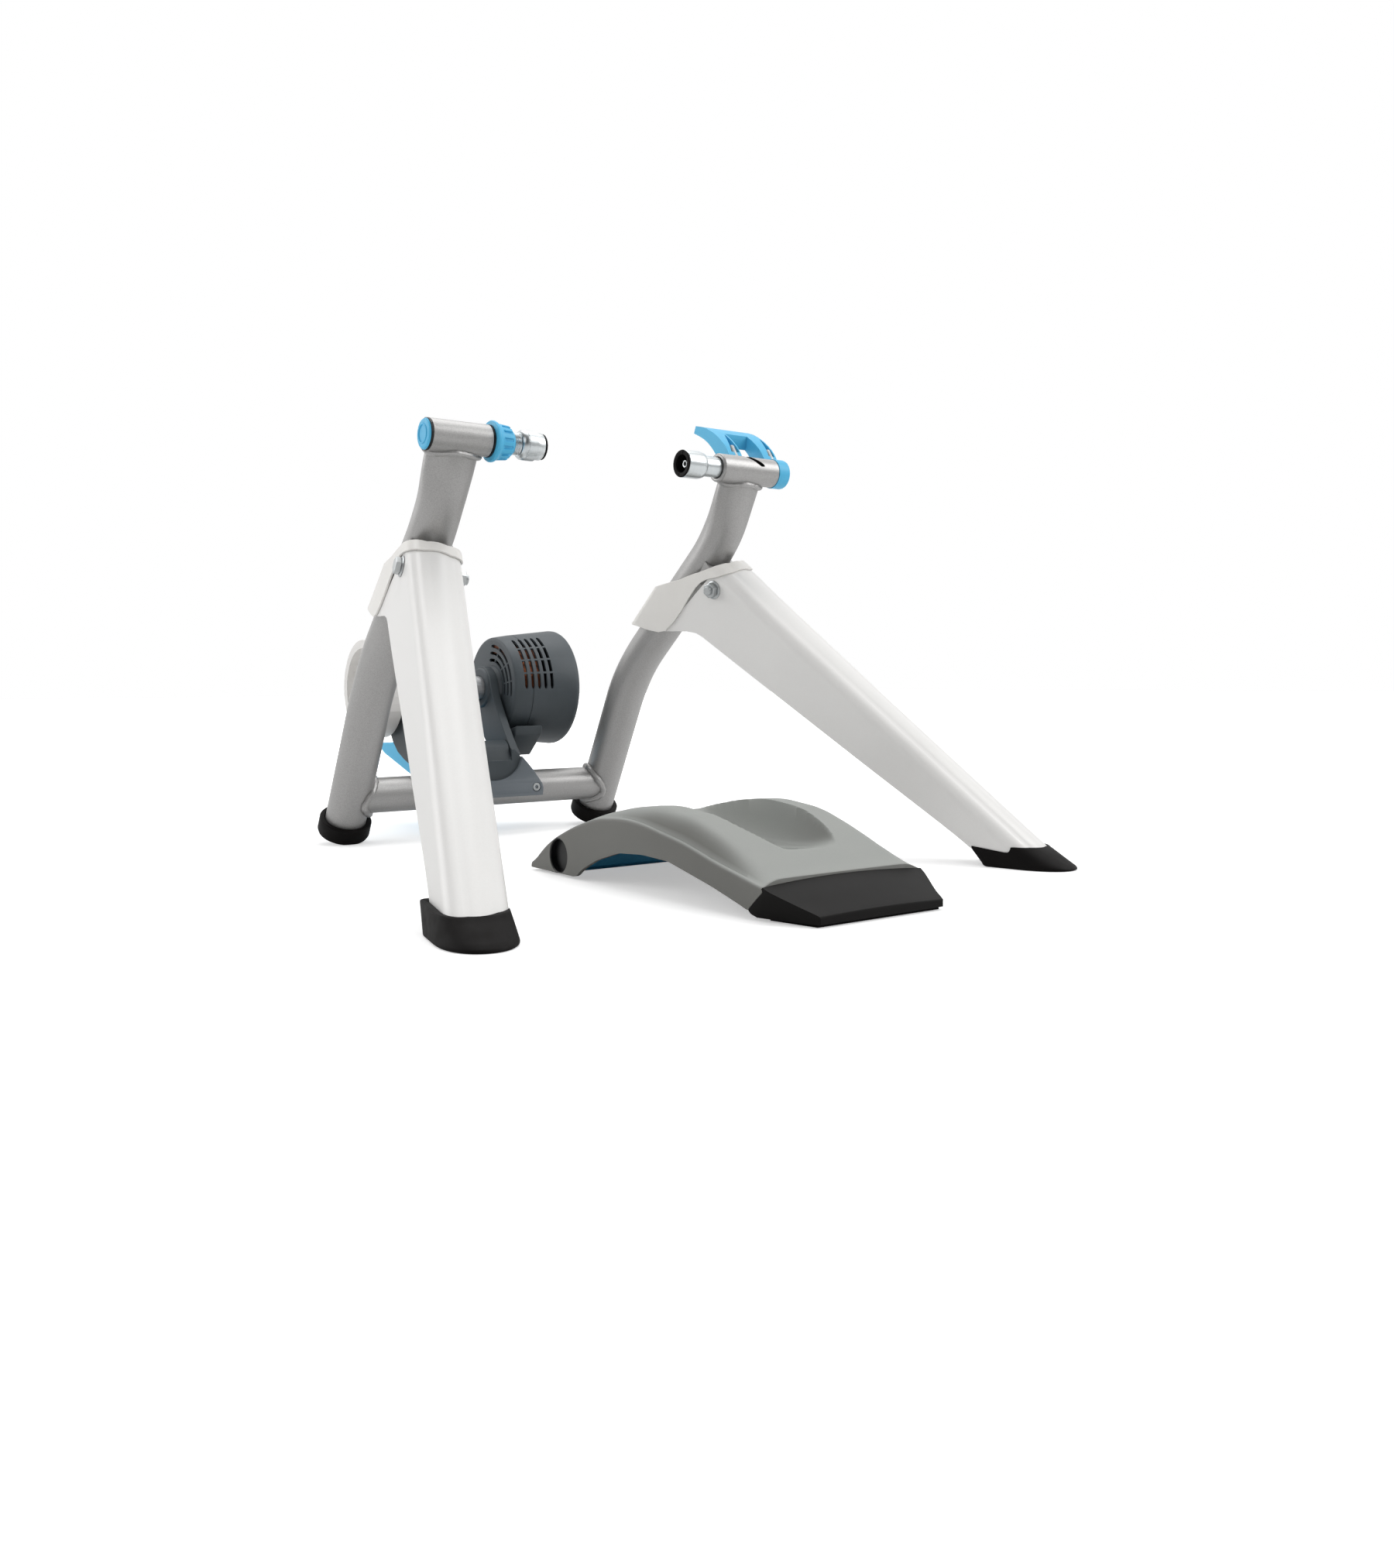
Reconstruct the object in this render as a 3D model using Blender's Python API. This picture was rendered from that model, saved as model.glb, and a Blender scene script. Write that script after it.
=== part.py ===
"""Folding bicycle trainer with its front wheel block. Metres, +Z up, -Y is the front of the bicycle."""

import math

import bmesh
import bpy
from mathutils import Vector

# Fits
GAP = 0.0003
AXLE_Y = -0.04575

# Uprights, axle tubes and crossbar
AXLE_Z = 0.4105
UPRIGHT_X = ((0.0, 0.1650), (0.1941, 0.1635), (0.339, 0.1713), (0.42, 0.1709))
UPRIGHT_R = 0.0225
TUBE_WALL = 0.0015
UPRIGHT_TOP_Y = 0.0055
UPPER_BEND = (0.0448, 0.339)
UPPER_BEND_R = 0.185
LOWER_BEND = (0.2170, 0.1941)
LOWER_BEND_R = 0.25
FLOOR_POINT = (0.3228, 0.0)
PINCH_HALF_X = 0.026
PINCH_HALF_Y = 0.0155
PINCH_FROM = 0.02
PINCH_TO = 0.075
UPRIGHT_SHOULDER = 0.008
AXLE_TUBE_R = 0.0153
AXLE_TUBE_BORE_R = 0.0128
LEFT_TUBE = (-0.201, -0.1404)
RIGHT_TUBE = (0.1337, 0.206)
CROSSBAR_R = 0.020
CROSSBAR_Y = 0.2925
CROSSBAR_Z = 0.054

# Rear feet
FOOT_R = 0.0287
FOOT_HEIGHT = 0.020
FOOT_CHAMFER = 0.0015
FOOT_SOLE = 0.005
FOOT_FLAT = 0.0022

# Front legs
PIVOT = (0.1803, 0.0430, 0.2872)
BOOT = (0.2956, -0.2829)
LEG_HALF = ((0.06, 0.0267), (0.22, 0.0253), (0.44, 0.0246))
LEG_WALL = 0.0022
LEG_CORNER = 0.0135
LEG_CROWN = 0.0012
LEG_END_Z = 0.0065
WEB = ((0.02, 0.028), (0.06, 0.0265), (0.22, 0.0257), (0.44, 0.0252))
COLLAR_WALL = 0.002
STRAP_LOW = (-0.0855, -0.116)
STRAP_HIGH = (-0.0765, -0.055)
BOLT_R = 0.005
BOLT_FLANGE_R = 0.009
BOLT_HEX = 0.013
LUG_R = 0.010
LUG_HALF = 0.021
LEAN_GAP = 0.0008

# Boots
BOOT_TURN = math.radians(12.4)
BOOT_FLOOR = (-0.0345, 0.0490, 0.0297)
BOOT_TOP = (-0.0545, 0.0175, 0.0277)
BOOT_ROUND = 0.7
BOOT_TREAD = 0.003
BOOT_SOLE = 0.006
BOOT_RIM = 0.0235
BOOT_DIP = 0.0035

# Clamps
LOCK_RING = (-0.1380, -0.1115)
SPINDLE_R = 0.0107
NECK_R = 0.005
CUP_BORE_R = 0.0105
LEFT_CUP = (-0.1055, -0.0826)
RIGHT_CUP = (0.0867, 0.1116)
PLAIN_SPINDLE_R = 0.011
LEVER_X = (0.155, 0.2200)
HUB_X = (0.2065, 0.2222)
HUB_R = 0.0160
SLOT_FROM = (0.1665, 50.0)
SLOT_TO = (0.1886, -55.0)
SLOT_HALF = 0.0034
SLOT_END_TURN = 10.5
LEVER_WINDOW = (0.1725, 0.2035)

# Resistance unit
ROLLER = (0.365, 0.1745)
UNIT_PIN = (0.302, 0.098)
ROLLER_R = 0.0145
ROLLER_X = (-0.066, 0.032)
SHAFT_R = 0.006
LEFT_ARM_X = (-0.088, -0.070)
RIGHT_ARM_X = (0.0325, 0.0475)
ARM_TOP_R = 0.027
ARM_FOOT_R = 0.013
BEARING_R = 0.012
FLYWHEEL_X = (-0.1225, -0.0936)
FLYWHEEL_R = 0.0585
DRUM_X = (0.048, 0.0717, 0.135)
DRUM_R = (0.0635, 0.0665, 0.0728)
DRUM_WALL = 0.0025
SADDLE_X = (-0.090, 0.066)
SADDLE_R = 0.027
SADDLE_EAR_X = (-0.0695, 0.032)
SADDLE_TOP_R = 0.013
PEDAL_PIN = (0.3310, 0.052)
PEDAL_X = (-0.050, 0.045)
PEDAL_HUB_R = 0.009

# Front wheel block
BLOCK_X = -0.0095
BLOCK_WALL = 0.004
BLOCK_FOOT_Z = 0.0025
SEAM_Y = -0.345
WHEEL_R = 0.34
TROUGH_Y = -0.225
TROUGH_Z = 0.036
TROUGH_HALF = 0.024
SIDE_HOLE = (-0.054, 0.0187)
SIDE_HOLE_R = 0.016

FINISHES = {
    "grey_coat": ((0.34, 0.34, 0.35), 0.6, 0.45),
    "white_coat": ((0.84, 0.84, 0.82), 0.0, 0.35),
    "white_plastic": ((0.82, 0.82, 0.80), 0.0, 0.4),
    "rubber": ((0.02, 0.018, 0.018), 0.0, 0.75),
    "blue_plastic": ((0.07, 0.42, 0.74), 0.0, 0.4),
    "zinc": ((0.66, 0.68, 0.70), 1.0, 0.3),
    "black_plastic": ((0.02, 0.02, 0.022), 0.0, 0.5),
    "slate_plastic": ((0.075, 0.09, 0.10), 0.0, 0.5),
    "steel": ((0.70, 0.70, 0.71), 1.0, 0.18),
    "roller": ((0.55, 0.55, 0.56), 0.3, 0.45),
    "copper": ((0.50, 0.20, 0.10), 1.0, 0.4),
    "block_plastic": ((0.25, 0.27, 0.265), 0.0, 0.5),
}

FRAMES = {}


def frame(name, spot, parent=None):
    """An empty that carries one rigid group of pieces."""
    empty = bpy.data.objects.new(name, None)
    bpy.context.collection.objects.link(empty)
    spot = Vector(spot)
    if parent:
        empty.parent = parent
        empty.location = spot - FRAMES[parent.name]
    else:
        empty.location = (0.0, AXLE_Y, 0.0)
    FRAMES[name] = spot
    return empty


def finish_of(name, kind):
    colour, metallic, roughness = FINISHES[kind]
    material = bpy.data.materials.new(name)
    material.use_nodes = True
    shader = material.node_tree.nodes["Principled BSDF"]
    shader.inputs["Base Color"].default_value = (*colour, 1.0)
    shader.inputs["Metallic"].default_value = metallic
    shader.inputs["Roughness"].default_value = roughness
    return material


def piece(name, mesh, parent, kind, sharp=35.0):
    """Makes an object of a mesh drawn in the trainer's own frame."""
    bmesh.ops.translate(mesh, verts=mesh.verts, vec=-FRAMES[parent.name])
    data = bpy.data.meshes.new(name)
    mesh.to_mesh(data)
    mesh.free()
    data.shade_smooth()
    data.set_sharp_from_angle(angle=math.radians(sharp))
    item = bpy.data.objects.new(name, data)
    bpy.context.collection.objects.link(item)
    item.parent = parent
    if kind:
        data.materials.append(finish_of(name, kind))
    return item


def shaped(item, tool, parent, operation="DIFFERENCE", solver="EXACT"):
    """Cuts or joins a second solid, which stays hidden."""
    guide = piece(f"{item.name}_tool_{len(item.modifiers)}", tool, parent, None)
    guide.hide_render = True
    guide.display_type = "WIRE"
    step = item.modifiers.new(operation.lower(), "BOOLEAN")
    step.operation = operation
    step.solver = solver
    step.object = guide


def skin(rings, closed=False, strip=False):
    """One body through rings of points. A ring of one point is a pole, and strip caps a channel's ends."""
    mesh = bmesh.new()
    rows = [[mesh.verts.new(point) for point in ring] for ring in rings]
    pairs = list(zip(rows, rows[1:]))
    if closed:
        pairs.append((rows[-1], rows[0]))
    for low, high in pairs:
        for k in range(max(len(low), len(high))):
            corners = []
            for row, step in ((low, k), (low, k + 1), (high, k + 1), (high, k)):
                corner = row[step % len(row)]
                if corner not in corners:
                    corners.append(corner)
            mesh.faces.new(corners)
    for row in () if closed else (rows[0], rows[-1]):
        if strip:
            for k in range(len(row) // 2 - 1):
                mesh.faces.new((row[k], row[k + 1], row[-2 - k], row[-1 - k]))
        elif len(row) > 2:
            mesh.faces.new(row)
    bmesh.ops.recalc_face_normals(mesh, faces=mesh.faces)
    return mesh


def turned(profile, base, axis=(1.0, 0.0, 0.0), steps=20, closed=False, radius=lambda k, r: r):
    """A body of revolution from (distance along the axis, radius) points."""
    axis = Vector(axis).normalized()
    side = Vector((0.0, 1.0, 0.0)) if abs(axis.y) < 0.9 else Vector((0.0, 0.0, 1.0))
    side = (side - axis * side.dot(axis)).normalized()
    other = axis.cross(side)
    rings = []
    for along, r in profile:
        middle = Vector(base) + axis * along
        if r == 0.0:
            rings.append([middle])
            continue
        ring = []
        for k in range(steps):
            angle = math.tau * k / steps
            reach = radius(k, r)
            ring.append(middle + (side * math.cos(angle) + other * math.sin(angle)) * reach)
        rings.append(ring)
    return skin(rings, closed)


def along_x(profile, line, steps=20, closed=False, radius=lambda k, r: r):
    """The same with (x, radius) points about a line parallel to X."""
    return turned(profile, (0.0, line[0], line[1]), (1.0, 0.0, 0.0), steps, closed, radius)


def rod(low, high, r, line, steps=20):
    return along_x([(low, 0.0), (low, r), (high, r), (high, 0.0)], line, steps)


def bush(low, high, outer, inner, line, steps=20):
    return along_x([(low, inner), (low, outer), (high, outer), (high, inner)], line, steps, True)


def prism(outline, low, high):
    """A solid between two X positions; each may be a function of the outline's (y, z)."""
    rings = []
    for end in (low, high):
        rings.append([Vector((end(y, z) if callable(end) else end, y, z)) for y, z in outline])
    return skin(rings)


def soften(mesh, width, segments=2, keep=lambda edge: True):
    edges = [edge for edge in mesh.edges if edge.calc_face_angle(0.0) > 0.6 and keep(edge)]
    bmesh.ops.bevel(mesh, geom=edges, offset=width, segments=segments, profile=0.5,
                    affect="EDGES", material=-1)
    return mesh


def arc(centre, r, start, end, count):
    """Points on a circle in a plane, angles in degrees."""
    points = []
    for k in range(count):
        angle = math.radians(start + (end - start) * k / (count - 1))
        points.append((centre[0] + r * math.cos(angle), centre[1] + r * math.sin(angle)))
    return points


def level(table, value):
    """Straight-line reading of a short table of (position, size) pairs that rises in position."""
    if value <= table[0][0]:
        return table[0][1]
    for (low, first), (high, second) in zip(table, table[1:]):
        if value <= high:
            return first + (second - first) * (value - low) / (high - low)
    return table[-1][1]


def ease(value):
    value = min(1.0, max(0.0, value))
    return value * value * (3.0 - 2.0 * value)


def flat(value):
    return Vector((0.0, value[0], value[1]))


for leftover in list(bpy.data.objects):
    bpy.data.objects.remove(leftover, do_unlink=True)

axle = (0.0, AXLE_Z)
trainer = frame("trainer", (0.0, 0.0, 0.0))


def bend_stations(corner, before, after, radius, count):
    """Stations round one bend, each as (point, direction)."""
    turn = before.angle(after)
    reach = radius * math.tan(turn / 2.0)
    start = flat(corner) - before * reach
    inward = (after - before * after.dot(before)).normalized()
    centre = start + inward * radius
    stations = []
    for k in range(count):
        angle = turn * k / (count - 1)
        point = centre - inward * radius * math.cos(angle) + before * radius * math.sin(angle)
        heading = before * math.cos(angle) + inward * math.sin(angle)
        stations.append((point, heading))
    return stations


top_point = (UPRIGHT_TOP_Y, AXLE_Z)
upper_way = (flat(UPPER_BEND) - flat(top_point)).normalized()
middle_way = (flat(LOWER_BEND) - flat(UPPER_BEND)).normalized()
lower_way = (flat(FLOOR_POINT) - flat(LOWER_BEND)).normalized()
lower_side = lower_way.cross(Vector((1.0, 0.0, 0.0)))
sole = flat(FLOOR_POINT) + lower_way * ((FOOT_R * lower_way.y - FOOT_FLAT) / lower_way.z)


def upright_x(z):
    """The uprights stand a little closer together at the floor."""
    return level(UPRIGHT_X, z)


def leaned(spot, sign):
    return Vector((spot.x + sign * upright_x(spot.z), spot.y, spot.z))


def centre_line(point, sign):
    return leaned(flat(point), sign)


def upright_rings(shrink, steps=20):
    """Rings of the bent tube from the saddle under the axle tube down to the floor cut."""
    stations = [(flat(top_point) + upper_way * PINCH_FROM, upper_way)]
    stations += bend_stations(UPPER_BEND, upper_way, middle_way, UPPER_BEND_R, 5)
    stations += bend_stations(LOWER_BEND, middle_way, lower_way, LOWER_BEND_R, 5)
    rings = []
    clear = AXLE_TUBE_R + GAP

    def saddled(spot):
        away = (spot - flat(axle)).dot(upper_way.cross(Vector((1.0, 0.0, 0.0))))
        depth = max(UPRIGHT_SHOULDER, math.sqrt(max(0.0, clear ** 2 - away ** 2)))
        return depth - (spot - flat(axle)).dot(upper_way)

    def ring(point, heading, size, slide):
        side = heading.cross(Vector((1.0, 0.0, 0.0)))
        points = []
        for k in range(steps):
            angle = math.tau * k / steps
            a = size[0] * math.cos(angle)
            b = size[1] * math.sin(angle)
            spot = point + Vector((a, 0.0, 0.0)) + side * b
            points.append(spot + heading * slide(spot))
        return points

    pinched = (PINCH_HALF_X - shrink, PINCH_HALF_Y - shrink)
    rings.append(ring(flat(top_point), upper_way, pinched, saddled))
    travelled = PINCH_FROM
    last = stations[0][0]
    for point, heading in stations:
        travelled += (point - last).length
        last = point
        share = ease((travelled - PINCH_FROM) / (PINCH_TO - PINCH_FROM))
        size = (pinched[0] + (UPRIGHT_R - PINCH_HALF_X) * share, pinched[1] + (UPRIGHT_R - PINCH_HALF_Y) * share)
        rings.append(ring(point, heading, size, lambda spot: 0.0))
    rings.append(ring(sole - lower_way * FOOT_SOLE, lower_way, (UPRIGHT_R - shrink, UPRIGHT_R - shrink),
                      lambda spot: 0.0))
    return rings


for side_name, sign in (("left", -1.0), ("right", 1.0)):
    outer = upright_rings(0.0)
    inner = upright_rings(TUBE_WALL)
    tube = skin([[leaned(spot, sign) for spot in ring] for ring in outer + inner[::-1]], True)
    piece(f"{side_name}_upright", tube, trainer, "grey_coat")

    cap = turned([(0.0, 0.0), (0.0, FOOT_R - FOOT_CHAMFER), (FOOT_CHAMFER, FOOT_R),
                  (FOOT_HEIGHT - FOOT_CHAMFER, FOOT_R), (FOOT_HEIGHT, FOOT_R - FOOT_CHAMFER),
                  (FOOT_HEIGHT, UPRIGHT_R + GAP), (FOOT_SOLE - GAP, UPRIGHT_R + GAP),
                  (FOOT_SOLE - GAP, 0.0)], sole, -lower_way, 28)
    bmesh.ops.bisect_plane(cap, geom=cap.verts[:] + cap.edges[:] + cap.faces[:], plane_co=(0.0, 0.0, 0.0),
                           plane_no=(0.0, 0.0, -1.0), clear_outer=True)
    rim = [edge for edge in cap.edges if edge.is_boundary]
    bmesh.ops.edgeloop_fill(cap, edges=rim)
    for vert in cap.verts:
        vert.co = leaned(vert.co, sign)
    bmesh.ops.recalc_face_normals(cap, faces=cap.faces)
    piece(f"{side_name}_rear_foot", cap, trainer, "rubber")


def crossbar_ring(r, sign, steps=24):
    """End of the bar, fitted to the upright's round side."""
    ring = []
    clear = UPRIGHT_R + GAP
    for k in range(steps):
        angle = math.tau * k / steps
        spot = flat((CROSSBAR_Y + r * math.cos(angle), CROSSBAR_Z + r * math.sin(angle)))
        away = (spot - flat(FLOOR_POINT)).dot(lower_side)
        spot.x = sign * (upright_x(spot.z) - math.sqrt(max(0.0, clear ** 2 - away ** 2)))
        ring.append(spot)
    return ring


bar = piece("crossbar", skin([crossbar_ring(CROSSBAR_R, -1.0), crossbar_ring(CROSSBAR_R, 1.0),
                              crossbar_ring(CROSSBAR_R - TUBE_WALL, 1.0),
                              crossbar_ring(CROSSBAR_R - TUBE_WALL, -1.0)], True), trainer, "grey_coat")

# Axle tubes and their end pieces
piece("left_axle_tube", bush(*LEFT_TUBE, AXLE_TUBE_R, AXLE_TUBE_BORE_R, axle), trainer, "grey_coat")
right_tube = piece("right_axle_tube", bush(*RIGHT_TUBE, AXLE_TUBE_R, AXLE_TUBE_BORE_R, axle, 48), trainer,
                   "grey_coat")
slot = []
for k in range(11):
    turn = SLOT_FROM[1] + SLOT_END_TURN + (SLOT_TO[1] - SLOT_FROM[1] - 2.0 * SLOT_END_TURN) * k / 10.0
    middle = math.radians(90.0 - turn)
    share = min(1.0, max(0.0, (turn - SLOT_FROM[1]) / (SLOT_TO[1] - SLOT_FROM[1])))
    x = SLOT_FROM[0] + (SLOT_TO[0] - SLOT_FROM[0]) * share
    ring = []
    for r, lean in ((0.010, -1.0), (0.010, 1.0), (0.019, 1.0), (0.019, -1.0)):
        ring.append(Vector((x + lean * SLOT_HALF, r * math.cos(middle), AXLE_Z + r * math.sin(middle))))
    slot.append(ring)
shaped(right_tube, skin(slot), trainer)

seal = 0.0018
piece("left_inner_seal", bush(LEFT_TUBE[1] + GAP, LEFT_TUBE[1] + GAP + seal, AXLE_TUBE_R + GAP,
                              SPINDLE_R + GAP, axle), trainer, "black_plastic")
piece("left_outer_seal", bush(LEFT_TUBE[0] - GAP - seal, LEFT_TUBE[0] - GAP, AXLE_TUBE_R,
                              AXLE_TUBE_BORE_R, axle), trainer, "black_plastic")
piece("right_tube_seal", bush(RIGHT_TUBE[0] - GAP - seal, RIGHT_TUBE[0] - GAP, AXLE_TUBE_R,
                              PLAIN_SPINDLE_R + GAP, axle), trainer, "black_plastic")
cap_x = LEFT_TUBE[0] - GAP - seal
piece("left_end_cap", along_x([(cap_x - 0.0024, 0.0), (cap_x - 0.0024, 0.0085), (cap_x - 0.0032, 0.0088),
                               (cap_x - 0.0032, 0.0108), (cap_x - 0.0020, 0.0125), (cap_x - GAP, 0.0146),
                               (cap_x - GAP, AXLE_TUBE_BORE_R - GAP),
                               (LEFT_TUBE[0] + 0.011, AXLE_TUBE_BORE_R - GAP), (LEFT_TUBE[0] + 0.011, 0.0)],
                              axle), trainer, "blue_plastic")

# Front legs
pivot_right = Vector(PIVOT)
down_right = (Vector((*BOOT, 0.0)) - pivot_right)
down_right.normalize()
middle_right = (centre_line(LOWER_BEND, 1.0) - centre_line(UPPER_BEND, 1.0)).normalized()
inward_right = middle_right.cross(down_right)
inward_right.normalize()
if inward_right.x > 0.0:
    inward_right.negate()
rise_right = inward_right.cross(down_right)

EDGE = ((-0.030, -0.084), (-0.0088, -0.0666), (0.004, -0.059), (0.0147, -0.0565), (0.060, -0.0517),
        (0.132, -0.044), (0.245, -0.032), (0.349, -0.0195), (0.400, -0.0138))


def leg_point(sign, u, v, n):
    spot = pivot_right + down_right * u + rise_right * v + inward_right * n
    return Vector((spot.x * sign, spot.y, spot.z))


def channel_half(edge_v, web_v, wide, grow, inside):
    """(n, v) points of half a channel section, from the wall's edge to the middle of the web."""
    half = wide + (grow if not inside else -LEG_WALL - grow)
    top = web_v + (grow if not inside else -LEG_WALL - grow)
    corner = LEG_CORNER + (grow if not inside else -LEG_WALL - grow)
    edge = edge_v - grow
    points = [(half, edge), (half, (edge + top) / 2.0 - 0.004)]
    for n, v in arc((half - corner, top - LEG_CROWN - corner), corner, 0.0, 90.0, 5):
        points.append((n, v))
    points.append((0.0, top))
    return points


def channel_ring(sign, edge_v, web_v, wide, grow, place):
    ring = []
    for inside in (False, True):
        half = channel_half(edge_v, web_v, wide, grow, inside)
        full = [(-n, v) for n, v in half[:-1]] + half[::-1]
        if inside:
            full = full[::-1]
        ring += [place(sign, n, v) for n, v in full]
    return ring


def leg_rings(sign, grow):
    rings = []
    for u, head in ((-0.0075, True), (0.010, True), (0.030, False), (0.060, False), (0.132, False),
                    (0.245, False), (0.349, False), (0.400, False)):
        web = level(WEB, u)
        foot_u = {-0.0075: -0.036, 0.010: 0.000, 0.030: 0.0200}.get(u, u)
        edge = level(EDGE, foot_u) if u > -0.005 else -0.086

        def place(s, n, v, u=u, foot_u=foot_u, edge=edge, web=web):
            share = (web - v) / (web - edge)
            return leg_point(s, u + (foot_u - u) * share, v, n)

        rings.append(channel_ring(sign, edge, web, level(LEG_HALF, u), grow, place))
    return rings


def leg_cut_ring(sign, height, grow):

    def place(s, n, v):
        start = leg_point(s, 0.42, v, n)
        return start + Vector((down_right.x * s, down_right.y, down_right.z)) * (
            (height - start.z) / down_right.z)

    return channel_ring(sign, EDGE[-1][1], level(WEB, EDGE[-1][0]), level(LEG_HALF, EDGE[-1][0]), grow, place)


def collar_rings(sign):
    """A band round the upright: each station has a lower and an upper point and an outward normal."""
    half = LEG_HALF[0][1] + GAP + COLLAR_WALL
    back = 0.010
    front = LEG_CORNER + GAP + COLLAR_WALL
    web = WEB[0][1] + GAP + COLLAR_WALL
    stations = []
    lower_slope = (STRAP_LOW[1] + 0.087) / (STRAP_LOW[0] + 0.032)
    upper_slope = (STRAP_HIGH[1] + 0.024) / (STRAP_HIGH[0] + 0.049)
    for n, angle in ((0.0, 0.0), (half - back, 0.0), (None, 30.0), (None, 60.0), (None, 90.0)):
        a = math.radians(angle)
        reach = back * (1.0 - math.cos(a))
        n = n if n is not None else half - back + back * math.sin(a)
        low = (STRAP_LOW[0] + reach, STRAP_LOW[1] + lower_slope * reach)
        high = (STRAP_HIGH[0] + reach, STRAP_HIGH[1] + upper_slope * reach)
        stations.append((low, high, n, n, (-math.cos(a), 0.0, math.sin(a))))
    sides = (((-0.050, -0.0986), (-0.049, -0.024)), ((-0.032, -0.087), (-0.040, -0.012)),
             ((-0.0245, -0.0445), (-0.033, -0.003)), ((-0.022, -0.015), (-0.027, 0.004)),
             ((-0.0135, 0.004), (-0.021, 0.0115)))
    for low, high in sides:
        stations.append((low, high, half, half, (0.0, 0.0, 1.0)))
    for k in range(5):
        a = math.radians(90.0 * k / 4)
        n = half - front + front * math.cos(a)
        v = web - LEG_CROWN - front * (1.0 - math.sin(a))
        low_u = level(((0.004, -0.0135), (0.017, -0.0013), (0.028, 0.006)), v)
        high_u = level(((0.0115, -0.021), (0.030, -0.0085)), v)
        stations.append(((low_u, v), (high_u, v), n, n, (0.0, math.sin(a), math.cos(a))))
    stations.append(((0.006, web), (-0.008, web), 0.0, 0.0, (0.0, 1.0, 0.0)))
    loop = stations + [(low, high, -n, -m, (out[0], out[1], -out[2]))
                       for low, high, n, m, out in stations[-2:0:-1]]
    rings = []
    for low, high, n, m, out in loop:
        ring = []
        for (u, v), across, depth in ((low, n, 0.0), (high, m, 0.0), (high, m, COLLAR_WALL),
                                      (low, n, COLLAR_WALL)):
            ring.append(leg_point(sign, u - out[0] * depth, v - out[1] * depth, across - out[2] * depth))
        rings.append(ring)
    return rings


def hexed(size):
    """Radius rule that turns a 24-point ring into a hexagon of this width across its flats."""
    return lambda k, r: size / 2.0 / math.cos(math.radians((15.0 * k + 30.0) % 60.0 - 30.0)) if r < 0.0 else r


def boot_outline(sign, back, front, half, height, dip):
    """D-shaped outline, flat at the rear and round at the front, where it may sit lower."""
    way = Vector((math.sin(BOOT_TURN), -math.cos(BOOT_TURN), 0.0))
    across = Vector((math.cos(BOOT_TURN), math.sin(BOOT_TURN), 0.0))
    plan = [(back, -half * 0.5), (back, -half + 0.004), (back + 0.004, -half)]
    reach = front - (front - back) * 0.42
    for n, along in ((-half, back + (reach - back) * 0.5), (-half, reach)):
        plan.append((along, n))
    for k in range(1, 12):
        a = math.radians(180.0 * k / 12)
        swing = math.copysign(abs(math.cos(a)) ** BOOT_ROUND, math.cos(a))
        plan.append((reach + (front - reach) * math.sin(a) ** BOOT_ROUND, -half * swing))
    for n, along in ((half, reach), (half, back + (reach - back) * 0.5)):
        plan.append((along, n))
    plan += [(back + 0.004, half), (back, half - 0.004), (back, half * 0.5)]
    ring = []
    for along, n in plan:
        low = height - dip * (along - back) / (front - back)
        spot = Vector((*BOOT, low)) + way * along + across * n
        ring.append(Vector((spot.x * sign, spot.y, spot.z)))
    return ring


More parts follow.
